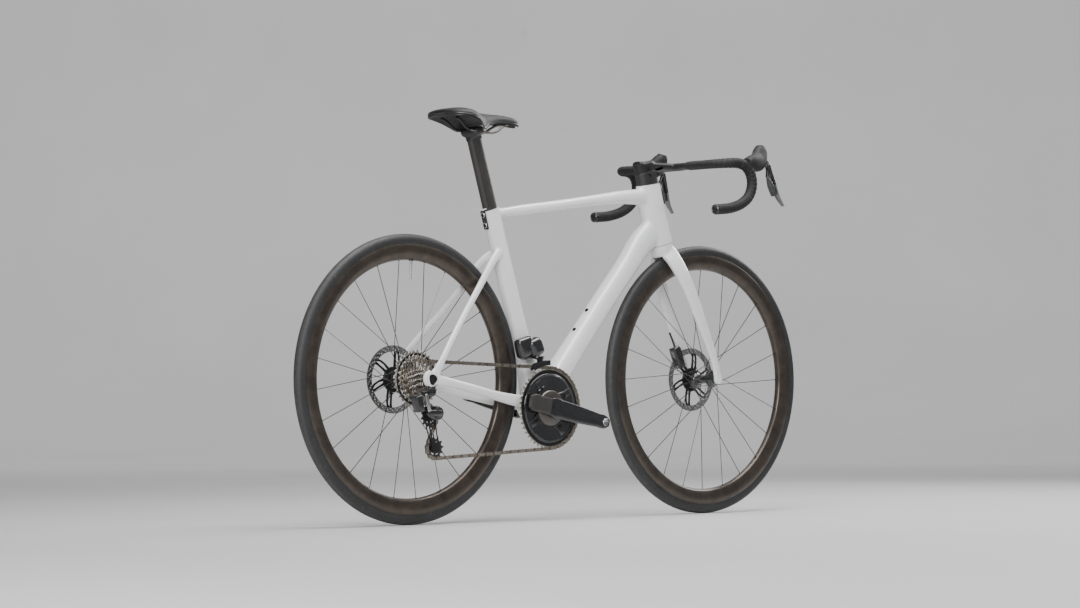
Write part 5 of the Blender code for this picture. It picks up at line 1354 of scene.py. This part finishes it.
def toothed(x, z, teeth, phase, deep=0.0039, tall=0.0026):
    radius = pitchRadius(teeth)
    steps = ((0.0, -deep), (0.20, -deep * 0.72), (0.32, 0.0), (0.42, tall), (0.58, tall), (0.68, 0.0),
             (0.80, -deep * 0.72))
    outline = []
    for k in range(teeth):
        for share, reach in steps:
            turn = phase + 2 * pi * (k + share) / teeth
            outline.append((x + (radius + reach) * cos(turn), z + (radius + reach) * sin(turn)))
    return outline


cassetteShape = {
    "teeth": (10, 11, 12, 13, 14, 15, 17, 19, 21, 24, 28, 33), "firstY": -0.0665, "step": 0.00355,
    "twist": 0.13, "deep": 0.0037, "tall": 0.0020, "thick": 0.0016, "rim": 0.0120, "bore": 0.0150,
    "smallBore": 0.0130,
    "gapRim": 0.0100, "gapLeast": 0.0012, "gapThick": 0.0021, "gapAt": 0.00178,
    "lockring": [(0.0100, -0.0680), (0.0148, -0.0680), (0.0152, -0.0672), (0.0152, -0.0655),
                 (0.0100, -0.0655)],
    "freehub": [(0.0115, -0.0660), (0.0148, -0.0660), (0.0150, -0.0268), (0.0115, -0.0268)],
}
x, z, teethList = rearAxle.x, rearAxle.z, cassetteShape["teeth"]
cogs, gapShadeDiscs = [], []
for i, teeth in enumerate(teethList):
    y = cassetteShape["firstY"] + i * cassetteShape["step"]
    radius = pitchRadius(teeth)
    phase = phases["sprocket"] + (0 if teeth == teethOf["sprocket"] else i * cassetteShape["twist"])
    bore = max(radius - cassetteShape["rim"], cassetteShape["bore"]) if i > 4 else cassetteShape["smallBore"]
    teethOutline = toothed(x, z, teeth, phase, cassetteShape["deep"], cassetteShape["tall"])
    largest = teeth == max(teethList)
    cog = plate("largestCog" if largest else "cog", [teethOutline, ringOf(x, z, bore, 48)],
                cassetteShape["thick"], y, 0.0002)
    if largest:
        finished(cog, cogTeethSteel, "sprockets")
        break
    cogs.append(cog)
    # black discs set in the gaps between the sprockets darken them: painted shade
    outer = max(radius - cassetteShape["gapRim"], bore + cassetteShape["gapLeast"])
    gapShadeDiscs.append(plate("gap", [ringOf(x, z, outer, 48), ringOf(x, z, bore, 48)], cassetteShape["gapThick"],
                      y + cassetteShape["gapAt"]))
finished(joined("cassetteCogs", cogs), cassetteSteel, "sprockets", ["cassette"])
finished(joined("cassetteGapShade", gapShadeDiscs), blackAlloy, "sprockets")
for name, key in (("cassetteLockring", "lockring"), ("freehubBody", "freehub")):
    finished(spun(name, cassetteShape[key], rearAxle, steps=48, closed=True), blackAlloy, "sprockets")

crankShape = {
    "droop": 12, "length": 0.170, "armY": 0.066, "bore": 0.0088, "housingY": 0.0655, "keyY": 0.0712,
    "arm": [(-0.0130, 0.0058, 0.0205), (-0.0100, 0.0066, 0.0222), (0.025, 0.0068, 0.0230),
            (0.080, 0.0064, 0.0212), (0.145, 0.006, 0.0170), (0.174, 0.006, 0.0145),
            (0.1835, 0.0055, 0.0080)],
    "housing": [(-0.0800, 0.0040, 0.0140), (-0.0770, 0.0056, 0.0165), (-0.0400, 0.0060, 0.0195),
                (-0.0135, 0.0060, 0.0205)],
    "insert": [(0.0068, -0.0068), (0.0084, -0.0070), (0.0090, -0.0064), (0.0090, 0.0064), (0.0084, 0.0070),
               (0.0068, 0.0068)],
    "bolt": [(0.0046, -0.0718), (0.0060, -0.0731), (0.0105, -0.0731), (0.0118, -0.0722), (0.0118, -0.0700),
             (0.0046, -0.0700)],
    "key": (0.0047, 0.0012),
    "spindle": [(0.0095, -0.0625), (0.0145, -0.0625), (0.0145, 0.0625), (0.0095, 0.0625)],
    "cup": [(0.0146, 0.0428), (0.0238, 0.0428), (0.0243, 0.0436), (0.0238, 0.0476), (0.0146, 0.0480)],
}
droop = radians(crankShape["droop"])
crankWay = Vector((cos(droop), 0, -sin(droop)))  # the right arm points forward and a little down
for across, hand in ((1, "left"), (-1, "right")):
    way = crankWay * -across
    middle = bracket + side * crankShape["armY"] * across
    eye = middle + way * crankShape["length"]
    arm = loft("crankArm_" + hand, [(*(middle + way * reach), w, d) for reach, w, d in crankShape["arm"]],
               48, 7.0, steps=6)
    cut(arm, [rod("bore", eye, crankShape["bore"], 0.04, sides=32)])
    finished(smoothed(arm, 40), glossBlack, "crank", ["crank_arm_" + hand])
    insert = spun("pedalInsert_" + hand, crankShape["insert"], eye, steps=40, closed=True)
    finished(insert, polishedSteel, "crank")
middle = bracket - side * crankShape["housingY"]
housingRows = [(*(middle + crankWay * reach), w, d) for reach, w, d in crankShape["housing"]]
housing = loft("spiderHousing", housingRows, 48, 7.0, steps=4)
finished(smoothed(housing, 40), satinCarbon, "crank")
crankBolt = spun("crankBolt", crankShape["bolt"], bracket, steps=48, closed=True)
crankKey = rod("crankKey", bracket - side * crankShape["keyY"], *crankShape["key"], sides=6)
finished(joined("crankBolt", [crankBolt, crankKey]), boltBlack, "crank")
spindle = spun("crankSpindle", crankShape["spindle"], bracket, steps=48, closed=True)
finished(spindle, blackAlloy, "crank")

ringShape = {
    "arms": 4, "armInner": 0.036, "armOuter": 0.0575, "armBore": 0.0160,
    "armThick": 0.0048, "armY": -0.0511,
    "dome": [(0.0160, -0.0485), (0.0420, -0.0490), (0.0428, -0.0505), (0.0426, -0.0540), (0.0405, -0.0562),
             (0.0330, -0.0582), (0.0205, -0.0592), (0.0160, -0.0592)],
    "large": 48, "largeBore": 0.0800, "small": 35, "smallBore": 0.0600, "smallY": -0.0405, "smallPhase": 0.1,
    "thick": 0.0021, "carrier": (0.0838, 0.0400, 0.0034), "carrierOut": 0.0012,
    "ribs": (0.0790, 0.0815), "ribHalf": 0.0012, "ribY": (-0.0504, -0.0512),
    "padAt": 0.066, "padY": -0.0508, "pad": (0.020, 0.0030, 0.016),
    "boltAt": 0.0535, "boltY": -0.0535, "bolt": (0.0048, 0.0016),
}


def ringSpot(reach, turn, y):  # a point about the crank's axis
    return Vector((bracket.x + reach * cos(turn), y, bracket.z + reach * sin(turn)))


def spiderOutline(count, inner, outer, start):  # arms, and the waists between them
    outline = []
    for k in range(count):
        mid = start + 2 * pi * k / count
        for share, reach in ((-0.5, inner), (-0.34, inner * 1.06), (-0.20, (inner + outer) / 2),
                             (-0.12, outer), (0.12, outer), (0.20, (inner + outer) / 2),
                             (0.34, inner * 1.06)):
            turn = mid + share * 2 * pi / count
            outline.append((bracket.x + reach * cos(turn), bracket.z + reach * sin(turn)))
    return outline


x, z, spiderStart = bracket.x, bracket.z, pi / 4 - droop
armTurns = [spiderStart + k * pi / 2 for k in range(ringShape["arms"])]
star = spiderOutline(ringShape["arms"], ringShape["armInner"], ringShape["armOuter"], spiderStart)
spiderArms = plate("spiderArms", [star, ringOf(x, z, ringShape["armBore"], 40)], ringShape["armThick"],
                   ringShape["armY"], 0.0008)
finished(spiderArms, glossBlack, "crank", ["crank_spider"])
finished(spun("spiderDome", ringShape["dome"], bracket, closed=True), crankGrey, "crank")
largeOutlines = [toothed(x, z, ringShape["large"], phases["ring"]), ringOf(x, z, ringShape["largeBore"], 96)]
ringTeeth = plate("chainringTeeth", largeOutlines, ringShape["thick"], chainLine, 0.0003)
finished(ringTeeth, ringTeethSteel, "crank", ["chainring_large"])
outer, inner, thick = ringShape["carrier"]
carrier = plate("carrier", [ringOf(x, z, outer, 120), ringOf(x, z, inner, 64)], thick,
                chainLine - ringShape["carrierOut"], 0.0006)
foot, crest = ringShape["ribY"]
ribs = [spun("rib", [(r - ringShape["ribHalf"], foot), (r, crest), (r + ringShape["ribHalf"], foot)], bracket,
             closed=True) for r in ringShape["ribs"]]
pads = [block("pad", ringSpot(ringShape["padAt"], turn, ringShape["padY"]), ringShape["pad"], -turn, 0.0012)
        for turn in armTurns]
finished(joined("chainringCarrier", [carrier] + ribs + pads), glossBlack, "crank")
smallOutlines = [toothed(x, z, ringShape["small"], ringShape["smallPhase"]),
                 ringOf(x, z, ringShape["smallBore"], 72)]
small = plate("chainringSmall", smallOutlines, ringShape["thick"], ringShape["smallY"], 0.0003)
finished(small, ringSteel, "crank", ["chainring_small"])
bolts = [bolt("bolt", ringSpot(ringShape["boltAt"], turn, ringShape["boltY"]), driveSide, *ringShape["bolt"])
         for turn in armTurns]
finished(joined("chainringBolts", bolts), boltBlack, "crank")
for across, hand in ((1, "left"), (-1, "right")):
    profile = [(radius, across * y) for radius, y in crankShape["cup"]]
    cup = spun("bracketCup_" + hand, profile, bracket, steps=64, closed=True)
    finished(cup, blackAlloy, "frame_body", ["bottom_bracket_cup_" + hand])
print("cassette, rings and crank made")

# rear derailleur

mechShape = {
    "lean": -14, "pulleyTeeth": (0.0036, 0.0024), "windows": 6, "windowFill": 0.62,
    "window": (0.0092, 0.0165), "pulleyBore": 0.0040, "pulleyThick": 0.0023, "axle": (0.0044, 0.0088),
    "knuckle": [(0.0, -0.0755), (0.0105, -0.0755), (0.0120, -0.0748), (0.0125, -0.0738), (0.0142, -0.0738),
                (0.0160, -0.0725), (0.0165, -0.0700), (0.0165, -0.0470), (0.0158, -0.0456), (0.0, -0.0456)],
    "arm": ((-0.4800, -0.0785, 0.2600), (0.0380, 0.0110, 0.0150)),
    "link": ((-0.5095, -0.088, 0.2835), (0.009, 0.0036, 0.042)),
    "drumAt": (-0.4985, -0.087, 0.3085), "drum": (0.0105, 0.012),
    "mountArm": ((-0.5110, -0.0828, 0.3045), (0.0260, 0.0030, 0.0120)),
    "mountBoltAt": (-0.4985, -0.0930, 0.3085), "mountBolt": (0.0072, 0.0022),
    "battery": ((-0.538, -0.085, 0.2815), (0.018, 0.023, 0.038)),
    "hanger": [(-0.4990, 0.3450), (-0.4890, 0.3560), (-0.4790, 0.3500), (-0.4800, 0.3330), (-0.4890, 0.3100),
               (-0.4900, 0.3020), (-0.4985, 0.2985), (-0.5060, 0.3050), (-0.5050, 0.3160)],
    "hangerThick": 0.0070, "hangerY": -0.0770,
}
mechLean = radians(mechShape["lean"])


def pulleyWindows(x, z):  # rounded windows in a pulley
    inner, outer = mechShape["window"]
    half = pi / mechShape["windows"] * mechShape["windowFill"]
    windows = []
    for k in range(mechShape["windows"]):
        mid = 2 * pi * k / mechShape["windows"]
        outline = [(x + outer * cos(mid + half * t), z + outer * sin(mid + half * t))
                   for t in (-1, -0.6, -0.2, 0.2, 0.6, 1)]
        outline += [(x + inner * cos(mid + half * t), z + inner * sin(mid + half * t))
                    for t in (0.85, 0.3, -0.3, -0.85)]
        windows.append(outline)
    return windows


for name in ("guide", "tension"):
    x, z = centres[name]
    outlines = [toothed(x, z, teethOf[name], phases[name], *mechShape["pulleyTeeth"]), *pulleyWindows(x, z),
                ringOf(x, z, mechShape["pulleyBore"], 24)]
    pulley = plate(name + "Wheel", outlines, mechShape["pulleyThick"], gearY, 0.0003)
    finished(pulley, mattBlack, name + "_wheel", [name + "_pulley"])
    axle = rod(name + "Axle", (x, gearY, z), *mechShape["axle"], sides=24, edge=0.0006)
    finished(axle, boltBlack, name + "_wheel")


def roundEnd(centre, way, across, radius):  # half a circle, bulging along the way
    return [centre + way * radius * sin(pi * k / 10) - across * radius * cos(pi * k / 10) for k in range(11)]


def cagePlate(y, thick, wide, narrow):
    start = Vector((knuckle.x, knuckle.z))
    way = (centres["tension"] - start).normalized()
    across = Vector((-way.y, way.x))
    (high, highShare), (low, lowShare) = cageShape["waist"]
    waist = [(high, wide * highShare), (low, narrow * lowShare)]
    outline = roundEnd(start, -way, -across, wide)
    outline += [start + way * reach - across * half for reach, half in waist]
    outline += roundEnd(start + way * cageShape["length"], way, across, narrow)
    outline += [start + way * reach + across * half for reach, half in reversed(waist)]
    inside = ((0.0190, 0.0080), (0.0300, 0.0078), (low, narrow * lowShare - 0.0026), (0.0650, 0.0066),
              (0.0700, 0.0040))
    window = [start + way * reach - across * half for reach, half in inside]
    window += [start + way * reach + across * half for reach, half in reversed(inside)]
    return plate("cage", [[(p.x, p.y) for p in loop] for loop in (outline, window)], thick, y, 0.0004)


cages = [cagePlate(*cageShape["outer"]), cagePlate(*cageShape["inner"])]
finished(joined("rearCage", cages), blackAlloy, "rear_mech_cage", ["rear_derailleur_cage"])
knuckleShell = spun("knuckleShell", mechShape["knuckle"], knuckle, steps=64)
knuckleArm = block("arm", *mechShape["arm"], 0, 0.004)
finished(joined("knuckleShell", [knuckleShell, knuckleArm]), glossBlack, "rear_mech_knuckle",
         ["rear_derailleur_knuckle"])
outerLink = block("outerLink", *mechShape["link"], mechLean, 0.0016)
finished(outerLink, brushedAlloy, "rear_mech_link", ["rear_derailleur_outer_link"])
mountDrum = rod("mountDrum", mechShape["drumAt"], *mechShape["drum"], sides=48, edge=0.0015)
mountArm = block("mountArm", *mechShape["mountArm"], 0, 0.0012)
mountBolt = bolt("mountBolt", mechShape["mountBoltAt"], driveSide, *mechShape["mountBolt"])
finished(joined("mountDrum", [mountDrum, mountArm, mountBolt]), glossBlack, "frame_body",
         ["rear_derailleur_mount"])
battery = block("mechBattery", *mechShape["battery"], mechLean, 0.003)
finished(battery, glossBlack, "frame_body", ["rear_derailleur_battery"])
hanger = plate("hangerPlate", [mechShape["hanger"]], mechShape["hangerThick"], mechShape["hangerY"], 0.0010)
finished(hanger, blackAlloy, "frame_body", ["derailleur_hanger"])

# front derailleur

frontMechShape = {
    "motor": ((-0.1550, -0.035, 0.4150), (0.050, 0.028, 0.050), -16),
    "ledge": ((-0.150, -0.035, 0.393), (0.022, 0.020, 0.010), -16),
    "battery": ((-0.1270, -0.040, 0.4155), (0.042, 0.034, 0.046), -24),
    "pivots": [((-0.133, -0.044, 0.3925), 0.0048, 0.0200), ((-0.113, -0.046, 0.3900), 0.0042, 0.0180)],
    "link": ((-0.123, -0.0500, 0.3890), (0.0260, 0.0030, 0.0090), 10),
    "post": ((-0.118, -0.0460, 0.3850), (0.0090, 0.0090, 0.0140), -12),
    "pins": [(-0.133, -0.0542, 0.3925), (-0.113, -0.0552, 0.3900)], "pin": (0.0032, 0.0010),
    "outerPlate": (-0.0532, 0.103), "innerPlate": (-0.0404, 0.1028), "plateTop": 0.115, "plateThick": 0.0014,
    "span": (90, 120), "bridgeAt": (104, 0.113, -0.0468), "bridge": (0.010, 0.0130, 0.003),
}


def leaned(name, key, edge, segments=3, shapes=frontMechShape):  # a block from its place, size and lean
    centre, size, lean = shapes[key]
    return block(name, centre, size, radians(lean), edge, segments)


motor = [leaned("motorBody", "motor", 0.0110), leaned("ledge", "ledge", 0.002)]
finished(joined("motorBody", motor), glossBlack, "frame_body", ["front_derailleur_body"])
battery = leaned("frontBattery", "battery", 0.0135, 6)
finished(battery, glossBlack, "frame_body", ["front_derailleur_battery"])
works = [rod("pivot", *pivot, sides=24, edge=0.0008) for pivot in frontMechShape["pivots"]]
works += [leaned("link", "link", 0.001), leaned("post", "post", 0.0015)]
finished(joined("frontMechPivots", works), boltBlack, "frame_body")
linkPins = [bolt("pin", spot, driveSide, *frontMechShape["pin"]) for spot in frontMechShape["pins"]]
finished(joined("frontMechPins", linkPins), polishedSteel, "frame_body")


def arcPlate(y, inner):
    start, end = frontMechShape["span"]
    outer, span = frontMechShape["plateTop"], [radians(start + (end - start) * k / 12) for k in range(13)]
    outline = [(bracket.x + outer * cos(t), bracket.z + outer * sin(t)) for t in span]
    outline += [(bracket.x + inner * cos(t), bracket.z + inner * sin(t)) for t in reversed(span)]
    return plate("arc", [outline], frontMechShape["plateThick"], y, 0.0003)


guides = [arcPlate(*frontMechShape["outerPlate"]), arcPlate(*frontMechShape["innerPlate"])]
turn, reach, y = frontMechShape["bridgeAt"]
guides.append(block("bridge", ringSpot(reach, radians(turn), y), frontMechShape["bridge"], 0, 0.0006))
finished(joined("frontCage", guides), blackAlloy, "front_mech", ["front_derailleur_cage"])

# brake calipers, hoses and thru-axles

brakeShape = {
    "frontCaliper": ((0.444, 0.0398, 0.395), (0.024, 0.023, 0.056), -22),
    "rearCaliper": ((-0.408, 0.0545, 0.356), (0.062, 0.025, 0.026), 8),
    "slit": (0.0815, 0.0032), "hose": 0.0025, "axle": 0.006, "key": (0.003, 0.012),
    "frontHose": [(0.434, 0.040, 0.423), (0.430, 0.040, 0.433), (0.424, 0.0405, 0.445),
                  (0.418, 0.0415, 0.458)],
    "rearHose": [(-0.3765, 0.054, 0.356), (-0.365, 0.053, 0.355), (-0.350, 0.051, 0.350),
                 (-0.338, 0.048, 0.342)],
    "frontReach": 0.0585, "rearReach": 0.0784,
}
ends = (("front", frontAxle, "steering"), ("rear", rearAxle, "frame_body"))
for label, centre, body in ends:
    caliper = leaned(label + "Caliper", label + "Caliper", 0.004, shapes=brakeShape)
    slit = rod("slit", centre + side * rotorShape[label], *brakeShape["slit"], sides=96)
    finished(cut(caliper, [slit]), glossBlack, body, [label + "_brake_caliper"])
for label, centre, body in ends:
    hose = tube(label + "Hose", [brakeShape[label + "Hose"]], brakeShape["hose"], 14, 5)
    finished(hose, sealRubber, body, [label + "_brake_hose"])
for label, centre, body in ends:
    reach = brakeShape[label + "Reach"]
    axle = rod(label + "ThruAxle", centre, brakeShape["axle"], reach * 2, sides=32, edge=0.0008)
    cut(axle, [rod("key", centre - side * reach, *brakeShape["key"], sides=6)])
    finished(smoothed(axle, 40), boltBlack, body, [label + "_thru_axle"])
print("derailleurs, brakes and axles made")

# floor, lights and camera

floorFinish = surface("floorPaint", (0.50, 0.50, 0.495), (0.54, 0.54, 0.535), 0.62, patch=1.2, grain=0.004,
                      depth=0.00005, dust=0.0)
stageShape = {
    "near": -40, "bend": 8.5, "radius": 2.5, "high": 12, "half": 30,
    "sky": (0.80, 0.82, 0.85, 1), "skyStrength": 0.30,
}
away = Vector((0.685, 0.728, 0))
across = Vector((0.728, -0.685, 0))
bend, radius = stageShape["bend"], stageShape["radius"]
sweep = [away * stageShape["near"], away * bend]  # a floor that curves up into a wall behind the bike
sweep += [away * (bend + radius * sin(radians(t))) + Vector((0, 0, radius - radius * cos(radians(t))))
          for t in range(6, 91, 6)]
sweep.append(away * (bend + radius) + Vector((0, 0, stageShape["high"])))
corners = [spot + across * reach for spot in sweep for reach in (-stageShape["half"], stageShape["half"])]
mesh = bpy.data.meshes.new("studioSweep")
mesh.from_pydata(corners, [], [(2 * k, 2 * k + 1, 2 * k + 3, 2 * k + 2) for k in range(len(sweep) - 1)])
floor = smoothed(inScene("studioSweep", mesh), 60)
floor.data.materials.append(floorFinish)
sky = bpy.data.worlds.new("studio")
bpy.context.scene.world = sky
sky.use_nodes = True
background = sky.node_tree.nodes["Background"]
background.inputs["Color"].default_value = stageShape["sky"]
background.inputs["Strength"].default_value = stageShape["skyStrength"]


def lamp(name, spot, target, size, watts):
    light = bpy.data.lights.new(name, "AREA")
    light.shape = "RECTANGLE"
    light.size, light.size_y = size
    light.energy = watts
    made = bpy.data.objects.new(name, light)
    made.location = spot
    made.rotation_euler = (Vector(target) - Vector(spot)).to_track_quat("-Z", "Y").to_euler()
    bpy.context.scene.collection.objects.link(made)


lamp("overheadSoftbox", (0.1, -0.5, 2.9), (0, 0, 0.4), (3.2, 1.6), 135)
lamp("rightFill", (-3.4, -2.6, 1.9), (0, 0, 0.45), (1.8, 1.8), 120)
lamp("frontRim", (3.0, 0.2, 2.1), (0.1, 0, 0.5), (1.4, 1.4), 60)
lamp("backdropWash", away * 6.5 + Vector((0, 0, 6)), away * 10.5 + Vector((0, 0, 1.2)), (14, 2.5), 520)

view = {"azimuth": -43.2584, "elevation": -1.7596, "roll": -0.3299, "lens": 106.24,
        "place": (-5.35567, -5.61608, 0.28435)}
azimuth, elevation, roll = (radians(view[key]) for key in ("azimuth", "elevation", "roll"))
back = Vector((sin(azimuth) * cos(elevation), -cos(azimuth) * cos(elevation), sin(elevation)))
right = Vector((cos(azimuth), sin(azimuth), 0))
up = back.cross(right)
rightRolled, upRolled = right * cos(roll) + up * sin(roll), up * cos(roll) - right * sin(roll)
camera = bpy.data.objects.new("camera", bpy.data.cameras.new("camera"))
camera.data.lens = view["lens"]
camera.data.sensor_width = 36
camera.matrix_world = Matrix((rightRolled, upRolled, back)).transposed().to_4x4()
camera.matrix_world.translation = view["place"]
bpy.context.scene.collection.objects.link(camera)
bpy.context.scene.camera = camera
